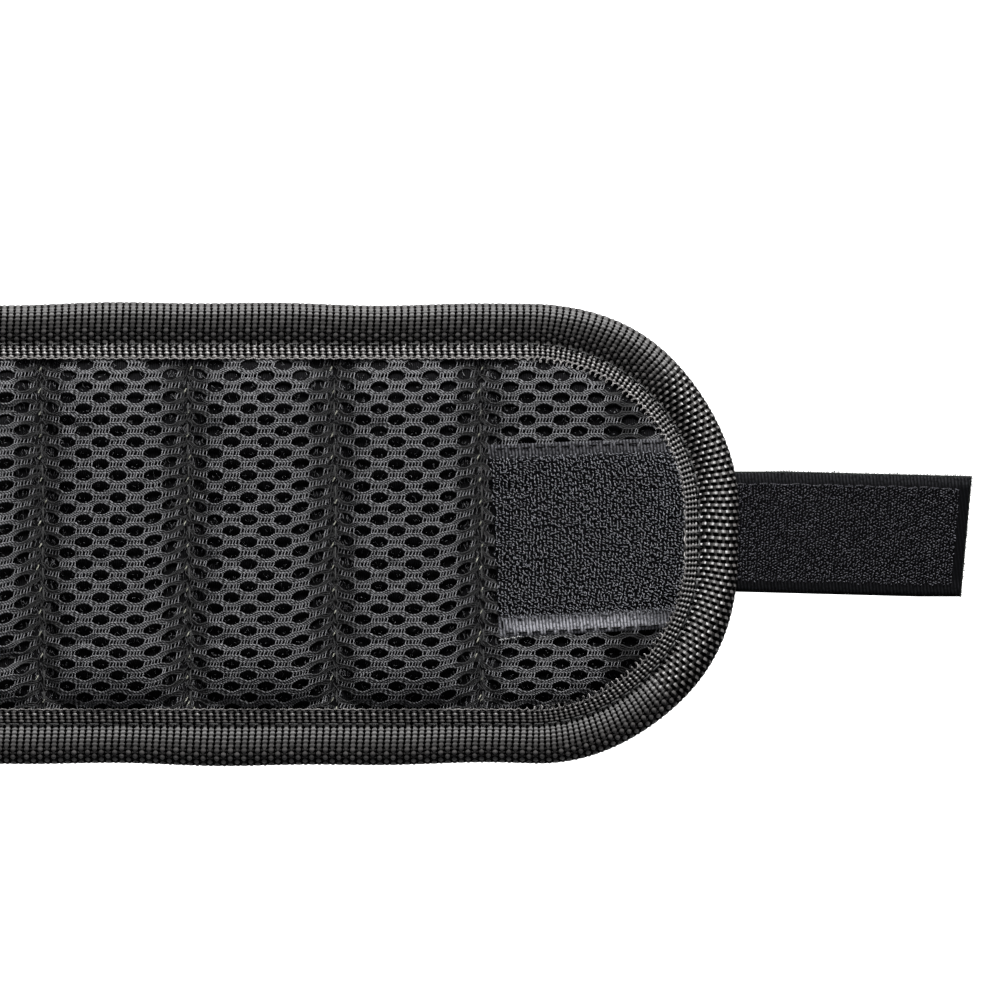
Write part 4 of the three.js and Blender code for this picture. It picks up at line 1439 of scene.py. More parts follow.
class WRISTBAND_OT_binding(PieceOperator):
    """Weave the tape that is folded round the band's edge, and the yarn loops of its inner edge"""

    bl_idname = "wristband.binding"
    bl_label = "Edge binding"

    LOWER_SHARES = ((1, 0.42), (0.9, 0.67), (0.766, 0.42), (0.645, 0.79), (0.467, 1), (0.243, 1),
                    (0.112, 0.79), (0.033, 0.33))
    UPPER_SHARES = ((0.028, -0.22), (0.09, 0.42), (0.18, 0.84), (0.28, 1.0), (0.38, 1.0), (0.5, 0.82),
                    (0.62, 0.46), (0.7, 0.12), (0.74, 0.04), (0.79, 0.14), (0.87, 0.26), (0.95, 0.3),
                    (1, 0.26))
    HOLLOW_LOW = 1.65 * MM
    HOLLOW_HIGH = 3.45 * MM
    WALL = 1.6 * MM
    LIP_SHARE = 0.76
    STEPS_PER_WEFT = 6
    STEPS_PER_ROW = 4
    THIN_YARN_SHARE = 0.24
    CURL_PITCH = 1.7 * MM
    BACK_BAR_ROW = 4.5
    FRONT_BAR_ROW = 8.8
    BAR_ROWS = 3.8
    SIDE_DEPTH = 14 * MM
    SIDE_BLEND = 5 * MM
    CORNER_BLEND = 8 * MM
    LEAN = 0.16 * MM
    # The lip is painted paler from the front edge, at the first place, to the back one, as painted light where it
    # faces the lamp
    LIT_LIP_PLACES = (-35 * MM, 35 * MM)
    LIT_LIP_SHARES = (0.25, 0.6)

    def section(self):
        """Outer face of the tape from its lower to its upper inner edge.

        Returns for each place its distance in from the band's edge with its height, and the number of yarn
        rows passed. Then comes that number at the rim and where the lip begins.
        """
        tape = sizes("binding")
        top = 1.15 * (binding_high[2] - self.HOLLOW_HIGH)
        relief = tape.yarn_lift
        lower = [
            (across * tape.width, self.HOLLOW_LOW * (1 - depth) + relief * depth)
            for across, depth in self.LOWER_SHARES
        ]
        upper = [
            (across * tape.width, self.HOLLOW_HIGH + rise * (top - relief))
            for across, rise in self.UPPER_SHARES
        ]
        line, gone = smooth_line([*lower, (relief * 0.7, seam_z), *upper], 0.02 * MM)
        rim = np.argmin(line[:, 0])
        on_lip = (line[:, 0] > self.LIP_SHARE * tape.width) & (gone > gone[rim])
        pitch = np.where(on_lip, tape.lip_row_pitch, tape.row_pitch)
        passed = np.concatenate([[0], np.cumsum(np.diff(gone) / pitch[1:])])
        steps = np.arange(0, passed[-1], 1 / self.STEPS_PER_ROW)
        coarse = (steps < passed[rim]) & (np.arange(len(steps)) % 2 == 1)
        steps = np.append(steps[~coarse], passed[-1])
        return places_along(steps, passed, line), steps, float(passed[rim]), float(passed[on_lip][0])

    def side_share(self, y):
        """1 on the long sides and 0 round the ends."""
        return ramp(np.abs(y) - half_width + self.SIDE_DEPTH, self.SIDE_BLEND)

    def bar_share(self, y, rows, rim_row):
        """1 where thick yarns join to bars on the long sides: near the rim behind, the lip in front."""
        bar_row = rim_row + np.where(y > 0, self.BACK_BAR_ROW, self.FRONT_BAR_ROW)
        return self.side_share(y) * ramp(self.BAR_ROWS - np.abs(rows - bar_row), 1.2)

    def weave(self, along, across, lip_row, bars, ends):
        """Height of a plain weave of thick yarns over and under thin ones."""
        tape = sizes("binding")
        weft, row = np.round(along), np.round(across)
        over = np.cos(np.pi * across) * np.where(weft % 2 == 0, 1, -1)
        over = over + (0.7 * np.sin(np.pi / 2 * over) - over) * ends
        over = np.where(across > lip_row, 0.5 * over + 0.5 * np.cos(2 * np.pi * across), over)
        over = over + (0.4 + 0.4 * np.cos(2 * np.pi * across) - over) * bars
        under = np.cos(np.pi * along) * np.where(row % 2 == 0, -1, 1)
        thick = 1 - (2 * (along - weft)) ** 2
        thin = np.sqrt(np.clip(1 - ((across - row) / self.THIN_YARN_SHARE) ** 2, 0, 1))
        thick_height = tape.yarn_lift * over + tape.yarn_round * (thick - 1)
        thin_height = tape.yarn_lift * (0.7 * under - 0.3) + tape.yarn_round * 0.6 * (thin - 1)
        return np.maximum(thick_height, thin_height)

    def waver(self, distance):
        """How far the edge wanders outwards."""
        around = 2 * math.pi * distance / edge_legs().sum()
        return sizes("binding").waver * (0.6 * np.sin(7 * around + 1) + 0.4 * np.sin(17 * around))

    def make(self):
        tape = sizes("binding")
        section, across, rim_row, lip_row = self.section()
        material = binding_finish(lip_row)
        loop_material = yarn_finish("selvage_loop", tape.yarn_colour, strand=0.3 * MM)
        tangent = np.gradient(section, axis=0)
        normal = np.stack([-tangent[:, 1], tangent[:, 0]], -1)
        normal /= np.linalg.norm(normal, axis=1, keepdims=True)
        # The tape thins to nothing at its two cut edges
        selvage = ramp(np.minimum(across, across[-1] - across), 0.6)
        lean = self.LEAN * np.sin(across / 2.3)
        hollow = np.array([(tape.width, self.HOLLOW_HIGH), (self.WALL, self.HOLLOW_HIGH),
                           (self.WALL, self.HOLLOW_LOW), (tape.width, self.HOLLOW_LOW)])
        spare = ((0, 0), (0, len(hollow)))
        around = edge_legs().sum()
        pitch = around / (2 * round(around / tape.weft_pitch / 2))
        step = pitch / self.STEPS_PER_WEFT
        for stretch in stretches():
            points, faces, uv, caps = [], [], [], []
            shares = {"bars": [], "pale": [], "ends": []}
            for start, end in stretch.edge_runs():
                inner = np.arange(math.floor(start / step) + 1, math.ceil(end / step)) * step
                distance = np.concatenate([[start], inner, [end]])
                along, rows = np.meshgrid(distance / pitch, across, indexing="ij")
                leaning = distance[:, None] + np.pad(lean, (0, len(hollow)))[None, :]
                place, out = edge_places(leaning)
                y = place[:, : len(across), 1]
                bars = self.bar_share(y, rows, rim_row)
                ends = 1 - self.side_share(y)
                # Painted light: the lip is painted paler towards the back edge, which faces the lamp, and less so
                # round the ends
                pale = np.interp(y, self.LIT_LIP_PLACES, self.LIT_LIP_SHARES) * (rows > lip_row)
                pale = pale * (1 - 0.5 * ends)
                relief = self.weave(along, rows, lip_row, bars, ends) * selvage
                ring = section[None] + normal[None] * relief[..., None]
                ring = np.concatenate([ring, np.repeat(hollow[None], len(distance), 0)], 1)
                waver = self.waver(distance)[:, None, None]
                inwards = ring[..., 0:1] - waver * (1 - ring[..., 0:1] / tape.width)
                solid = over_tab(np.concatenate([place - out * inwards, ring[..., 1:2]], -1))
                count, columns = solid.shape[:2]
                first = sum(len(part) for part in points)
                faces += [face[::-1] for face in grid_faces(count, columns, first, wrapped=True)]
                caps.append(list(range(first, first + columns))[::-1])
                caps.append(list(range(first + (count - 1) * columns, first + count * columns)))
                points.append(solid.reshape(-1, 3))
                uv.append(np.stack([np.pad(along, spare, mode="edge"), np.pad(rows, spare, mode="edge")], -1))
                for key, values in (("bars", bars), ("pale", pale), ("ends", ends)):
                    shares[key].append(np.pad(values, spare, mode="edge").ravel())
            piece = mesh_object(
                f"edge_binding_{stretch.number}",
                np.concatenate(points),
                faces + caps,
                material,
                np.concatenate([part.reshape(-1, 2) for part in uv]),
                {key: np.concatenate(values) for key, values in shares.items()},
                flat_faces=len(caps),
            )
            stretch.sew_in(piece, "binding_tape", "edge_binding", "edge_binding_back", "edge_binding_front")
            name, lines = f"binding_selvage_{stretch.number}", self.selvage(stretch)
            loops = threads(name, lines, tape.selvage_radius, 4, loop_material)
            stretch.sew_in(loops, "binding_tape")

    def selvage(self, stretch):
        """The yarn along the tape's upper inner edge: waved on the sides, curled round the corners."""
        tape = sizes("binding")
        legs = edge_legs()
        borders = np.cumsum(legs)
        top = self.HOLLOW_HIGH + 0.35 * (binding_high[2] - self.HOLLOW_HIGH)
        lines = []
        for start, end in stretch.edge_runs():
            steps = round((end - start) / self.CURL_PITCH * 14)
            distance = np.linspace(start, end, steps)
            turned = distance % legs.sum()
            on_corner = sum(
                ramp(turned - first + self.CORNER_BLEND / 2, self.CORNER_BLEND)
                * ramp(last - turned + self.CORNER_BLEND / 2, self.CORNER_BLEND)
                for first, last in zip(borders[0::2], borders[1::2])
            )
            at_end = ramp(half_width - 15 * MM - np.abs(edge_places(distance)[0][..., 1]), 12 * MM)
            curled = np.clip(on_corner - 0.6 * at_end, 0, 1)
            wander = np.sin(distance / (3.1 * MM)) + np.sin(distance / (1.37 * MM))
            phase = 2 * math.pi * distance / self.CURL_PITCH + 0.5 * wander
            swing = (0.1 + 0.42 * curled) * MM
            back = 0.5 * MM * curled * (1 + 0.15 * wander)
            reach = tape.width + 0.12 * MM + 0.22 * MM * curled + swing * np.cos(phase)
            place, out = edge_places(np.clip(distance - back * np.sin(phase), start, end))
            z = top + (0.1 + 0.1 * curled) * MM * np.sin(phase + 0.8)
            lines.append(np.column_stack([place - out * reach[:, None], z]))
        return lines


class WRISTBAND_OT_cloth(PieceOperator):
    """Stretch the outer cloth over the back of the pockets, round the deeper pockets' carriers"""

    bl_idname = "wristband.cloth"
    bl_label = "Outer cloth"

    EDGE_INSET = 2.0 * MM
    STEP = 1.1 * MM
    BULGE_REACH = 3.4 * MM
    RUCK_HEIGHT = 0.05 * MM
    RUCK_REACH = 3 * MM

    def lower_face(self, x, y):
        height = np.full(np.shape(x), flat_cloth_bottom)
        for body, (low, high) in carrier_box.items():
            room = over_box(x, y, low, high, self.BULGE_REACH, self.BULGE_REACH)
            height = height + room * (cloth_bottom[body] - flat_cloth_bottom)
        return height

    def make(self):
        cloth = sizes("cloth")
        material = plain_cloth_finish("outer_cloth", cloth.cloth_colour, cloth.weave_pitch)
        for stretch in stretches():
            x, y = laid_grid(stretch.left, stretch.right, self.EDGE_INSET, self.STEP)
            low = self.lower_face(x, y)
            rucks = self.RUCK_HEIGHT * np.sin(y / (1.7 * MM) + 2 * np.sin(x / (7 * MM)))
            rucks = rucks * by_seam(x, self.RUCK_REACH)
            top, bottom = low + cloth_top - flat_cloth_bottom, low + np.maximum(rucks, 0)
            piece = slab(f"outer_cloth_{stretch.number}", x, y, top, bottom, material)
            flat = (stretch.right - stretch.left, 2 * (half_width - self.EDGE_INSET))
            area = float(np.trapz(2 * half_width_at(x[:, 0], self.EDGE_INSET), x[:, 0]))
            area = min(area, flat[0] * flat[1])
            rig.sheet(piece, flat=flat, held="stretched", rests_on=[f"padding_{stretch.number}"], area=area)
            stretch.sew_in(piece, "outer_cloth", "outer_cloth")


class WRISTBAND_OT_loop_patch(PieceOperator):
    """Lay the loop patch under the left end, with its pile of loops"""

    bl_idname = "wristband.loop_patch"
    bl_label = "Loop patch"

    GROUND_SHARE = 0.5
    LOOP_SPACING = 1.45 * MM
    BARE_SIDE = 1.9 * MM
    BARE_END = 0.6 * MM
    # A loop's places and its yarn's radius, in millimetres
    LOOP_LINE = ((-0.45, 0), (-0.42, 0.5), (0, 0.8), (0.42, 0.5), (0.45, 0))
    LOOP_YARN = 0.11

    def make(self):
        tape = sizes("tape")
        material = knit_finish("loop_ground", toned(tape.loop_colour, 0.6))
        pile = yarn_finish("loop_pile", tape.loop_colour, strand=0.3 * MM)
        low, high = node_box("left_end_loop_patch")
        right = node_box("pocket_2_loop_patch")[1][0]
        join = seam_x[0] + half_pitch
        middle = low[2] + (high[2] - low[2]) * self.GROUND_SHARE
        random = np.random.default_rng(3)
        loop = small_shape("loop", self.LOOP_LINE, self.LOOP_YARN, pile)
        for stretch, left, end, bodies in (
            (Stretch(1), low[0], join, LOOP_PATCH_BODIES[:2]),
            (Stretch(2), join, right, LOOP_PATCH_BODIES[2:]),
        ):
            columns = np.linspace(left, end, round((end - left) / MM) + 1)
            x, y = np.meshgrid(columns, np.linspace(low[1], high[1], 51), indexing="ij")
            stitched = np.minimum(high[1] - np.abs(y), np.where(x < low[0] + 5 * MM, x - low[0], 1))
            dip = 0.2 * MM * np.exp(-((stitched - 1.2 * MM) ** 2) / (0.6 * MM) ** 2)
            ground = slab(f"loop_ground_{stretch.number}", x, y, high[2], middle + dip, material)
            count = round((end - left) * (high[1] - low[1]) / self.LOOP_SPACING**2)
            spots = joined(
                random.uniform(left + self.BARE_END, end - self.BARE_END, count),
                random.uniform(low[1] + self.BARE_SIDE, high[1] - self.BARE_SIDE, count),
                middle + 0.05 * MM,
            )
            loops = stood(f"loop_pile_{stretch.number}", spots, loop, pile, upside_down=True,
                          turn_change=math.pi, lean=0.5, size_change=0.2, seed=stretch.number)
            nodes = [f"{body}_loop_patch" for body in bodies]
            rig.replaces(ground, *nodes)
            for piece in (ground, loops):
                stretch.sew_in(piece, "loop_pile")
        bpy.data.objects.remove(loop)


class WRISTBAND_OT_hook_patch(PieceOperator):
    """Sew the hook patch on the right end: ribbed selvages above and below a field of small hooks"""

    bl_idname = "wristband.hook_patch"
    bl_label = "Hook patch"

    THICKNESS = 0.55 * MM
    RIB_STEP = 0.165 * MM
    RIB_HEIGHT = 0.07 * MM
    UPPER_SELVAGE_SHARE = 0.052
    LOWER_SELVAGE_SHARE = 0.078
    LEAN = 0.07
    RIBBED_LENGTH = 38 * MM
    HOOKED_LENGTH = 37 * MM
    HOOKED_WIDTH = 39 * MM
    FIRST_COLUMN = -4
    FIRST_HOOK_SHARE = 0.006
    LAST_HOOK_SHARE = 0.985
    FOLD_DEPTH = 0.35 * MM
    # How worn its lower and its upper selvage are
    WORN_SHARES = (1.06, 0.22)
    # A hook's places and its wire's radius, in millimetres
    HOOK_LINE = ((0, 0), (0.02, 0.5), (0.1, 0.7), (0.24, 0.74), (0.34, 0.54))
    HOOK_WIRE = 0.08
    DRAWN_HOOK_HEIGHT = 0.8 * MM

    def height(self, x, y):
        return lining_top(x, y) + PATCH_LIFT

    def make(self):
        tape = sizes("tape")
        material = knit_finish("hook_patch_ground", tape.patch_colour, pitch=tape.rib_pitch)
        hooks = plastic_finish("patch_hooks", tape.patch_hook_colour)
        count = round(self.RIBBED_LENGTH / self.RIB_STEP)
        margins = np.array([0, 0.01, 0.03, 0.05, self.LOWER_SELVAGE_SHARE])
        field = np.linspace(self.LOWER_SELVAGE_SHARE, 1 - self.UPPER_SELVAGE_SHARE, 26)[1:]
        shares = np.concatenate([margins, field, 1 - np.array([0.03, 0.01, 0.0])])
        along, across = np.meshgrid(np.linspace(0, 1, count), shares, indexing="ij")
        x, y = patch_plan(along, across)
        on_selvage = (across <= self.LOWER_SELVAGE_SHARE) | (across >= 1 - self.UPPER_SELVAGE_SHARE)
        ribs = self.RIB_HEIGHT * np.cos(2 * math.pi * x / tape.rib_pitch) * on_selvage
        edge = np.minimum(np.minimum(across, 1 - across) * 38 * MM, np.minimum(along, 1 - along) * 36 * MM)
        rounded = 0.3 * MM * (1 - ramp(edge, 0.8 * MM))
        fold_x, fold_y = from_photo(*PATCH_FOLD_PIXEL)
        from_fold = ((x - fold_x) / (1.3 * MM)) ** 2 + ((y - fold_y) / (0.5 * MM)) ** 2
        fold = self.FOLD_DEPTH * np.exp(-from_fold)
        z = self.height(x, y) + ribs - rounded - fold
        worn = {"worn": np.where(across < 0.5, *self.WORN_SHARES) * on_selvage}
        ground = slab("hook_patch_ground", x, y, z, self.height(x, y) - self.THICKNESS, material, worn)
        stretch = Stretch(STRETCHES[-1])
        stretch.sew_in(ground, "hook_tape", "hook_patch")
        shape = small_shape("hook", self.HOOK_LINE, self.HOOK_WIRE, hooks)
        spots = self.field(tape, np.random.default_rng(21))
        size = tape.hook_height / self.DRAWN_HOOK_HEIGHT
        piece = stood("hook_patch_hooks", spots, shape, hooks, size=size, size_change=0.12,
                      turn=math.radians(-40), turn_change=1.1, lean=0.25, seed=2)
        bpy.data.objects.remove(shape)
        stretch.sew_in(piece, "hook_tape")

    def field(self, tape, random):
        """Feet of the hooks: columns that lean a little, with hooks at an even pitch."""
        spots = []
        for column in range(self.FIRST_COLUMN, round(40 * MM / tape.column_pitch)):
            for number in range(round(42 * MM / tape.hook_pitch)):
                share = (number + 0.5 * (column % 2)) * tape.hook_pitch / self.HOOKED_WIDTH
                if not self.LOWER_SELVAGE_SHARE + 0.01 < share < 1 - self.UPPER_SELVAGE_SHARE - 0.01:
                    continue
                along = (column + 0.7) * tape.column_pitch / self.HOOKED_LENGTH
                along += random.uniform(-0.003, 0.003)
                along += self.LEAN * (share - 0.5)
                if self.FIRST_HOOK_SHARE < along < self.LAST_HOOK_SHARE:
                    spots.append((along, share + random.uniform(-0.004, 0.004)))
        along, across = np.array(spots).T
        x, y = patch_plan(along, across)
        return joined(x, y, self.height(x, y) - 0.1 * MM)


class WRISTBAND_OT_tab(PieceOperator):
    """Make the closing tab: a fuzzy backing tape below, and a hook tape with ribbed selvages above"""

    bl_idname = "wristband.tab"
    bl_label = "Closing tab"

    RIB_STEP = 0.165 * MM
    LOWER_SELVAGE = 2.0 * MM
    END_BORDER = 1.6 * MM
    RIBBED_LENGTH = 69 * MM
    HOOKED_LENGTH = 47 * MM
    HIDDEN_HOOKS = 1.5 * MM
    RIB_HEIGHT = 0.06 * MM
    # How worn its lower and its upper selvage are
    WORN_SHARES = (0.02, 0.045)
    # A hook's places and its wire's radius, in millimetres
    HOOK_LINE = ((0, 0), (0.02, 0.28), (0.1, 0.44), (0.26, 0.38))
    HOOK_WIRE = 0.08
    FUZZ_RADIUS = 0.035 * MM
    FUZZ_COUNT = 900

    def make(self):
        tape = sizes("tape")
        backing_low, backing_high = node_box("tab_backing_tape")
        hook_low = node_box("tab_hook_tape")[0]
        ground_top = hook_low[2] + TAB_GROUND
        backing_finish = plain_cloth_finish("tab_backing", tape.backing_colour, 0.35 * MM)
        along, across = np.meshgrid(np.linspace(0, 1, 90), np.linspace(0, 1, 28), indexing="ij")
        x, y = tab_plan(along, across)
        top = backing_high[2] - 0.02 * MM
        backing = slab("tab_backing", x, y, top, backing_low[2], backing_finish)
        fold_with_tab(backing, "tab_tape", "tab_backing_tape", "right_end_tab_root")
        fuzz = yarn_finish("tab_fuzz", toned(tape.backing_colour, 2), roughness=0.9)
        fibres = threads("tab_fuzz", self.fuzz(backing_high[2]), self.FUZZ_RADIUS, 3, fuzz)
        fold_with_tab(fibres, "tab_tape")

        ground_finish = knit_finish("tab_ground", tape.tab_colour, pitch=tape.rib_pitch)
        count = round(self.RIBBED_LENGTH / self.RIB_STEP)
        width = 2 * tab_half_width
        lower = np.array([0, 0.3, 1.0]) * MM / width
        upper = 1 - np.array([1.2, 0.3, 0.0]) * MM / width
        field = np.linspace(self.LOWER_SELVAGE / width, 1 - UPPER_TAB_SELVAGE / width, 14)
        shares = np.concatenate([lower, field, upper])
        along, across = np.meshgrid(np.linspace(0, 1, count), shares, indexing="ij")
        x, y = tab_plan(along, across, TAB_BACKING_EDGE)
        from_low, from_top = across * width, (1 - across) * width
        on_selvage = (from_low <= self.LOWER_SELVAGE) | (from_top <= UPPER_TAB_SELVAGE)
        ribs = self.RIB_HEIGHT * np.cos(2 * math.pi * x / tape.rib_pitch) * on_selvage
        rounded = 0.25 * MM * (1 - ramp(np.minimum(from_low, from_top), 0.6 * MM))
        # Under the band the tape lies flat below the outer cloth
        top = np.minimum(ground_top + ribs - rounded, tab_root_high[2])
        worn = {"worn": np.where(across < 0.5, *self.WORN_SHARES) * on_selvage}
        ground = slab("tab_ground", x, y, top, hook_low[2], ground_finish, worn)
        fold_with_tab(ground, "tab_hooks", "tab_hook_tape")

        hooks = plastic_finish("tab_hooks", tape.tab_hook_colour)
        shape = small_shape("tab_hook", self.HOOK_LINE, self.HOOK_WIRE, hooks)
        spots = self.field(tape, ground_top, np.random.default_rng(8))
        piece = stood("tab_hook_field", spots, shape, hooks, size_change=0.15, turn=0.6, turn_change=1.2,
                      lean=0.25, seed=6)
        bpy.data.objects.remove(shape)
        fold_with_tab(piece, "tab_hooks")

    def field(self, tape, height, random):
        """Feet of the tab's hooks, clear of its selvages, its end and the band's underside."""
        spots = []
        width = 2 * tab_half_width
        start = band_right - self.HIDDEN_HOOKS
        for column in range(round(self.HOOKED_LENGTH / tape.tab_hook_pitch)):
            for number in range(round(width / tape.tab_hook_pitch)):
                x = start + (column + random.uniform(-0.2, 0.2)) * tape.tab_hook_pitch
                step = number + 0.5 * (column % 2) + random.uniform(-0.15, 0.15)
                share = step * tape.tab_hook_pitch / width
                if not self.LOWER_SELVAGE / width < share < 1 - UPPER_TAB_SELVAGE / width:
                    continue
                along = (x - tab_root_low[0]) / (tab_tip - tab_root_low[0])
                if x < tab_tip - self.END_BORDER - TAB_BACKING_EDGE:
                    spots.append((along, share))
        along, across = np.array(spots).T
        x, y = tab_plan(along, across, TAB_BACKING_EDGE)
        return joined(x, y, height - 0.05 * MM)

    def fuzz(self, height):
        """Loose fibres round the backing's cut edge."""
        random = np.random.default_rng(17)
        lines = []
        for number in range(self.FUZZ_COUNT):
            at_end = number % 3 == 0
            share = random.uniform(0, 1)
            if at_end:
                foot, out = (1.0, share), np.array([1, 0])
            else:
                foot, out = (0.42 + 0.58 * share, 1.0), np.array([0, 1])
            x, y = tab_plan(np.array(foot[0]), np.array(foot[1]))
            foot = np.array([float(x), float(y)]) - out * 0.3 * MM
            reach = out * random.uniform(0.2, 0.75) * MM + random.uniform(-0.3, 0.3, 2) * MM
            plan = np.stack([foot, foot + reach * 0.6, foot + reach])
            heights = height + np.array([0, random.uniform(0, 0.15), random.uniform(-0.1, 0.3)]) * MM
            lines.append(np.column_stack([plan, heights]))
        return lines


class WRISTBAND_OT_stitches(PieceOperator):
    """Sew the pocket seams, the binding, the loop patch, the hook patch and the tab"""

    bl_idname = "wristband.stitches"
    bl_label = "Stitches"

    STRAND = 0.35 * MM
    CREASE_SHARE = 0.745
    CREASE_HEIGHT = 3.75 * MM
    LOWER_ROW_HEIGHT = 0.75 * MM
    PALE_RADIUS = 0.11 * MM
    PALE_PITCH = 4.3 * MM
    WHITE_RADIUS = 0.12 * MM
    TAB_THREAD_RADIUS = 0.13 * MM

    def stitch_row(self, path, pitch, rise, share=0.62):
        """Threads of a stitch row along places on the cloth: each comes up, runs on and goes down again."""
        places_on, gone = smooth_line(path, 0.2 * MM)
        lines = []
        for number in range(int(gone[-1] / pitch)):
            steps = (number + 0.5 - share / 2 + share * np.array([0, 0.12, 0.5, 0.88, 1])) * pitch
            spots = places_along(steps, gone, places_on)
            spots[:, 2] += rise * np.array([-2.2, 0.5, 1, 0.5, -2.2])
            lines.append(spots)
        return lines

    def make(self):
        thread = sizes("thread")
        tape = sizes("binding")
        material = yarn_finish("sewing_thread", thread.thread_colour, strand=self.STRAND, specular=0.6)
        pale = yarn_finish("pale_thread", thread.glint_colour, strand=self.STRAND)
        net_depth = 2 * sizes("net").cord_radius
        for stretch in stretches():
            lines = []
            reach = half_width - tape.width - 0.5 * MM
            ys = np.linspace(-reach, reach, 40)
            xs = stretch.seam + 0.35 * MM * (1 - ys / reach) + 0.1 * MM * np.sin(ys / (4 * MM))
            heights = lining_top(xs, ys) - 0.4 * net_depth
            lines += self.stitch_row(joined(xs, ys, heights), thread.seam_stitch, thread.radius)
            below = joined(xs, ys, flat_cloth_bottom)
            lines += self.stitch_row(below, thread.seam_stitch, -thread.radius)
            lines += self.binding_rows(stretch, thread, tape)
            lines += self.loop_patch_rows(stretch, thread)
            piece = threads(f"stitches_{stretch.number}", lines, thread.radius, 5, material)
            stretch.sew_in(piece, "binding_tape")
            ends = self.glints(stretch)
            if ends:
                piece = threads(f"pale_ends_{stretch.number}", ends, self.PALE_RADIUS, 4, pale)
                stretch.sew_in(piece, "binding_tape")
        last = Stretch(STRETCHES[-1])
        dark = yarn_finish("patch_thread", sizes("tape").patch_colour, specular=0.1)
        piece = threads("patch_stitches", self.patch_rows(thread), thread.radius, 5, dark)
        last.sew_in(piece, "hook_tape")
        white = yarn_finish("white_thread", thread.white_colour, strand=self.STRAND)
        piece = threads("white_stitches", self.white_stitches(), self.WHITE_RADIUS, 5, white)
        last.sew_in(piece, "hook_tape")
        tab_thread = yarn_finish("tab_thread", thread.tab_thread_colour, strand=self.STRAND)
        piece = threads("tab_stitches", self.tab_row(), self.TAB_THREAD_RADIUS, 5, tab_thread)
        fold_with_tab(piece, "tab_hooks")

    def binding_rows(self, stretch, thread, tape):
        """The row that holds the binding, sunk in its crease above and seen as short stitches below."""
        lines = []
        for start, end in stretch.edge_runs():
            distance = np.linspace(start, end, round((end - start) / (2 * MM)) + 1)
            place, out = edge_places(distance)
            x, y = (place - out * self.CREASE_SHARE * tape.width).T
            above = joined(x, y, self.CREASE_HEIGHT)
            below = over_tab(joined(x, y, self.LOWER_ROW_HEIGHT))
            lines += self.stitch_row(above, thread.edge_stitch, thread.radius)
            if (below[:, 2] < MM).all():
                lines += self.stitch_row(below, thread.edge_stitch, -thread.radius)
        return lines

    def loop_patch_rows(self, stretch, thread):
        """Rows that sew the loop patch's long edges through to the lining."""
        left, right = node_box("left_end_loop_patch")[0][0], node_box("pocket_2_loop_patch")[1][0]
        xs = np.arange(max(left + MM, stretch.left), min(right - MM, stretch.right), 1.2 * MM)
        lines = []
        for side in (-1, 1):
            if len(xs) > 3:
                ys = side * PATCH_ROW + 0.15 * MM * np.sin(xs / (3 * MM))
                heights = lining_top(xs, ys) - 0.1 * MM
                lines += self.stitch_row(joined(xs, ys, heights), thread.edge_stitch, thread.radius)
        return lines

    def patch_rows(self, thread):
        """Stitches round the hook patch."""
        steps = np.linspace(0.03, 0.97, 20)
        lines = []
        for along, across in ((steps, 0.02), (steps, 0.978), (0.025, steps), (0.98, steps)):
            shares = [np.broadcast_to(value, steps.shape).astype(float) for value in (along, across)]
            x, y = patch_plan(*shares)
            path = joined(x, y, lining_top(x, y) + PATCH_LIFT - 0.05 * MM)
            lines += self.stitch_row(path, thread.edge_stitch, 0.6 * thread.radius)
        return lines

    def white_stitches(self):
        """The short white stitches at the hook patch's lower left corner."""
        lines = []
        for spot in WHITE_STITCH_PIXELS:
            x, y = from_photo(*spot)
            xs = x + np.array([-0.45, -0.3, 0, 0.3, 0.45]) * MM
            ys = np.full(len(xs), y)
            rise = np.array([-0.3, 0.1, 0.15, 0.1, -0.3]) * MM
            lines.append(joined(xs, ys, lining_top(xs, ys) + rise))
        return lines

    def tab_row(self):
        """The slightly wavy row under the tab's upper selvage."""
        along = np.linspace(0.34, 0.95, 60)
        across = 1 - (UPPER_TAB_SELVAGE + 0.15 * MM * np.sin(along * 70)) / (2 * tab_half_width)
        x, y = tab_plan(along, across, TAB_BACKING_EDGE)
        height = node_box("tab_hook_tape")[0][2] + TAB_GROUND
        return self.stitch_row(joined(x, y, height), 2.1 * MM, 0.1 * MM, share=0.8)

    def glints(self, stretch):
        """Short pale thread ends beside the seams, and a few along each seam."""
        random = np.random.default_rng(stretch.number)
        reach = half_width - sizes("binding").width - 2 * MM
        along = np.arange(-reach, reach, self.PALE_PITCH)
        spots = [from_photo(*spot) for spot in GLINT_PIXELS]
        spots += list(np.stack([random.normal(stretch.seam, 0.3 * MM, len(along)), along], -1))
        lines = []
        for x, y in spots:
            if stretch.left < x < stretch.right:
                xs = x + np.array([-0.25, 0, 0.2]) * MM
                ys = y + np.array([-0.45, 0, 0.45]) * MM
                rise = np.array([-0.3, 0.05, -0.3]) * MM
                lines.append(joined(xs, ys, lining_top(xs, ys) + rise))
        return lines


class WRISTBAND_OT_magnets(PieceOperator):
    """Finish the magnets and their carrier sheets"""

    bl_idname = "wristband.magnets"
    bl_label = "Magnets"

    def make(self):
        cloth = sizes("cloth")
        felt = knit_finish("carrier_felt", cloth.felt_colour, pitch=0.9 * MM, roughness=0.95)
        nickel = finish("magnet_nickel", self.nickel)
        for name in frame["nodes"]:
            if "_magnet_" in name:
                for slot in bpy.data.objects[name].material_slots:
                    slot.material = felt if name.endswith("carrier") else nickel

    def nickel(self, tree, shader):
        """Bright plating with fine scratches."""
        place = places(tree)
        scratches = put(tree, "ShaderNodeTexWave", {"Vector": place, "Scale": 900.0, "Distortion": 4.0})
        cloudy = noise(tree, place, 300.0)
        bright = sizes("cloth").nickel_colour
        base = mixed(tree, cloudy, toned(bright, 0.8), bright)
        height = scratches.outputs[1]
        surface(tree, shader, base, cloudy * 0.2 + 0.2, height=height, depth=0.01 * MM)
        feed(tree, shader, {"Metallic": 1.0})


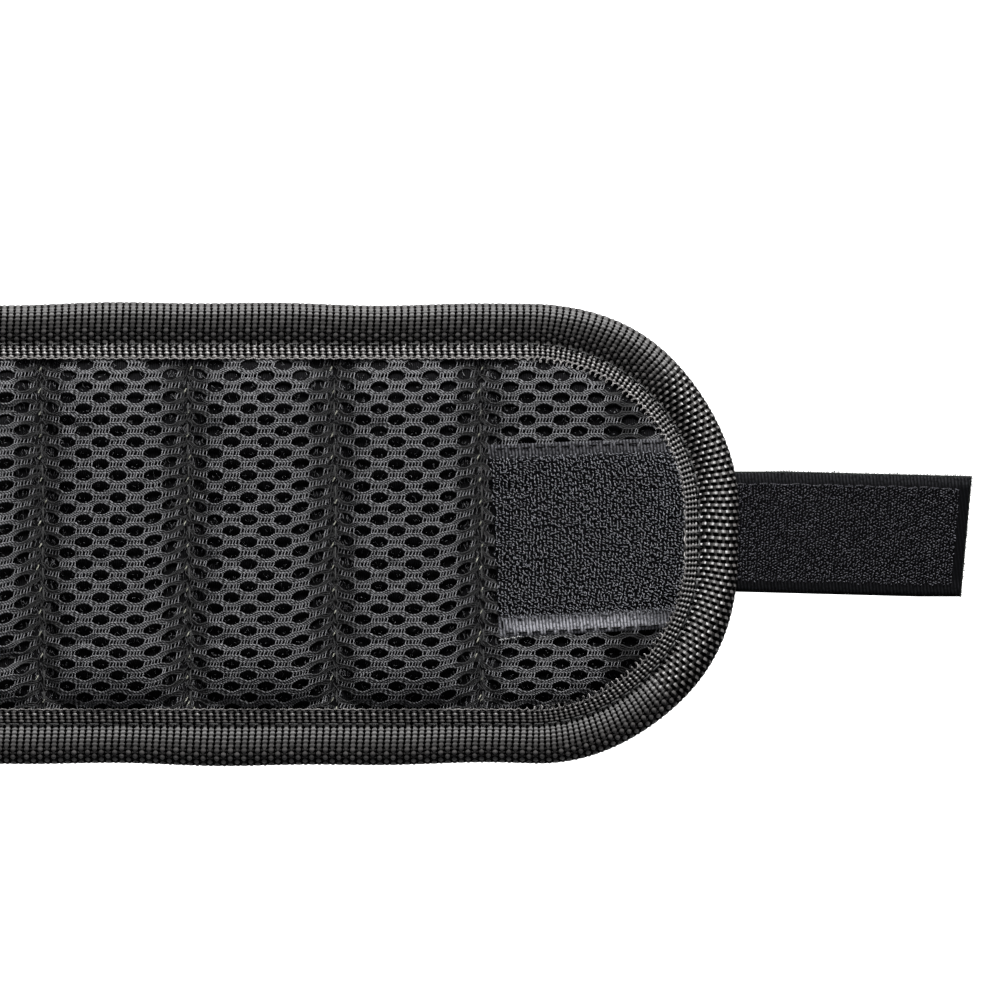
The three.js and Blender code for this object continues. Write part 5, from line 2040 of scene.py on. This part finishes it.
class WRISTBAND_OT_stage(PieceOperator):
    """Lay the pale floor and set the lamps and the camera"""

    bl_idname = "wristband.stage"
    bl_label = "Stage"

    KEY_PLACE = (0.1, 0.62, 0.36)
    KEY_SIZE = 0.35
    FILL_PLACE = (-0.25, -0.2, 0.8)
    FILL_SIZE = 0.5
    AIM = (0.03, 0, 0)
    ROOM_COLOUR = (0.9, 0.92, 1)
    ROOM_LIGHT = 0.06
    FLOOR_GLOW = 0.92
    WHITE = (1, 1, 1)

    def make(self):
        stage = sizes("stage")
        floor = mesh_object(
            "floor",
            [(-2, -2, 0), (2, -2, 0), (2, 2, 0), (-2, 2, 0)],
            [(0, 1, 2, 3)],
            finish("floor", self.floor_finish),
        )
        floor.data.transform(Matrix.Translation((0, 0, -stage.floor_depth)))
        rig.stage(floor)
        middle_x, middle_y = from_photo(PHOTO_CENTRE_PIXEL, PHOTO_CENTRE_PIXEL)
        camera = linked("camera", bpy.data.cameras.new("camera"))
        camera.location = (middle_x, middle_y, stage.camera_height)
        camera.data.lens = camera.data.sensor_width * (stage.camera_height - seam_z) / stage.view_width
        camera.data.clip_end = 20
        bpy.context.scene.camera = camera
        self.lamp("key", stage.key_power, self.KEY_PLACE, self.KEY_SIZE)
        self.lamp("fill", stage.fill_power, self.FILL_PLACE, self.FILL_SIZE)
        self.room()
        bpy.context.scene.view_settings.view_transform = "Standard"

    def lamp(self, name, power, place, size):
        data = bpy.data.lights.new(name, "AREA")
        data.energy = power
        data.shape = "RECTANGLE"
        data.size = data.size_y = size
        made = linked(name, data)
        made.location = place
        made.rotation_euler = (Vector(self.AIM) - Vector(place)).to_track_quat("-Z", "Y").to_euler()

    def room(self):
        """A dim, faintly blue room that the camera sees as white."""
        world = bpy.data.worlds.new("room")
        bpy.context.scene.world = world
        world.use_nodes = True
        tree = world.node_tree
        dim = tree.nodes["Background"]
        feed(tree, dim, {"Color": self.ROOM_COLOUR, "Strength": self.ROOM_LIGHT})
        white = put(tree, "ShaderNodeBackground", {"Color": self.WHITE, "Strength": 1.0})
        self.show_camera(tree, dim, white, "World Output")

    def show_camera(self, tree, usual, seen, output):
        """Ends a tree with one shader for the camera and the usual one for all other rays."""
        camera_ray = put(tree, "ShaderNodeLightPath").outputs["Is Camera Ray"]
        shaders = {0: camera_ray, 1: usual.outputs[0], 2: seen.outputs[0]}
        mix = put(tree, "ShaderNodeMixShader", shaders)
        feed(tree, tree.nodes[output], {"Surface": mix.outputs[0]})

    def floor_finish(self, tree, shader):
        surface(tree, shader, sizes("stage").floor_colour, 0.9, specular=0.1)
        glow = put(tree, "ShaderNodeEmission", {"Color": self.WHITE, "Strength": self.FLOOR_GLOW})
        bare = put(tree, "ShaderNodeAddShader", {0: shader.outputs[0], 1: glow.outputs[0]})
        self.show_camera(tree, shader, bare, "Material Output")


OPERATORS = (
    WRISTBAND_OT_stage,
    WRISTBAND_OT_padding,
    WRISTBAND_OT_net,
    WRISTBAND_OT_binding,
    WRISTBAND_OT_cloth,
    WRISTBAND_OT_loop_patch,
    WRISTBAND_OT_hook_patch,
    WRISTBAND_OT_tab,
    WRISTBAND_OT_stitches,
    WRISTBAND_OT_magnets,
)
GROUPS = {
    "band": BandSizes,
    "binding": BindingSizes,
    "net": NetSizes,
    "tape": TapeSizes,
    "cloth": ClothSizes,
    "thread": ThreadSizes,
    "stage": StageSizes,
}


class WRISTBAND_PT_panel(bpy.types.Panel):
    """Lists the operators and the sizes they read"""

    bl_idname = "WRISTBAND_PT_panel"
    bl_label = "Magnetic wristband"
    bl_space_type = "VIEW_3D"
    bl_region_type = "UI"
    bl_category = "Wristband"

    def draw(self, context):
        for operator in OPERATORS:
            self.layout.operator(operator.bl_idname)
        for name, group in GROUPS.items():
            box = self.layout.box()
            box.label(text=group.__doc__)
            for key in group.__annotations__:
                box.prop(getattr(context.scene, f"wristband_{name}"), key)


def register():
    for group in GROUPS.values():
        bpy.utils.register_class(group)
    for operator in OPERATORS:
        bpy.utils.register_class(operator)
    bpy.utils.register_class(WRISTBAND_PT_panel)
    for name, group in GROUPS.items():
        setattr(bpy.types.Scene, f"wristband_{name}", PointerProperty(type=group))


def unregister():
    for name in GROUPS:
        delattr(bpy.types.Scene, f"wristband_{name}")
    bpy.utils.unregister_class(WRISTBAND_PT_panel)
    for operator in reversed(OPERATORS):
        bpy.utils.unregister_class(operator)
    for group in reversed(GROUPS.values()):
        bpy.utils.unregister_class(group)


def main():
    register()
    for operator in OPERATORS:
        family, name = operator.bl_idname.split(".")
        getattr(getattr(bpy.ops, family), name)()
    corners = {"cad": cad_bounds, "visual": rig.bounds()}
    with open("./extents.json", "w") as file:
        json.dump({name: [list(corner) for corner in box] for name, box in corners.items()}, file)


if __name__ == "__main__":
    main()
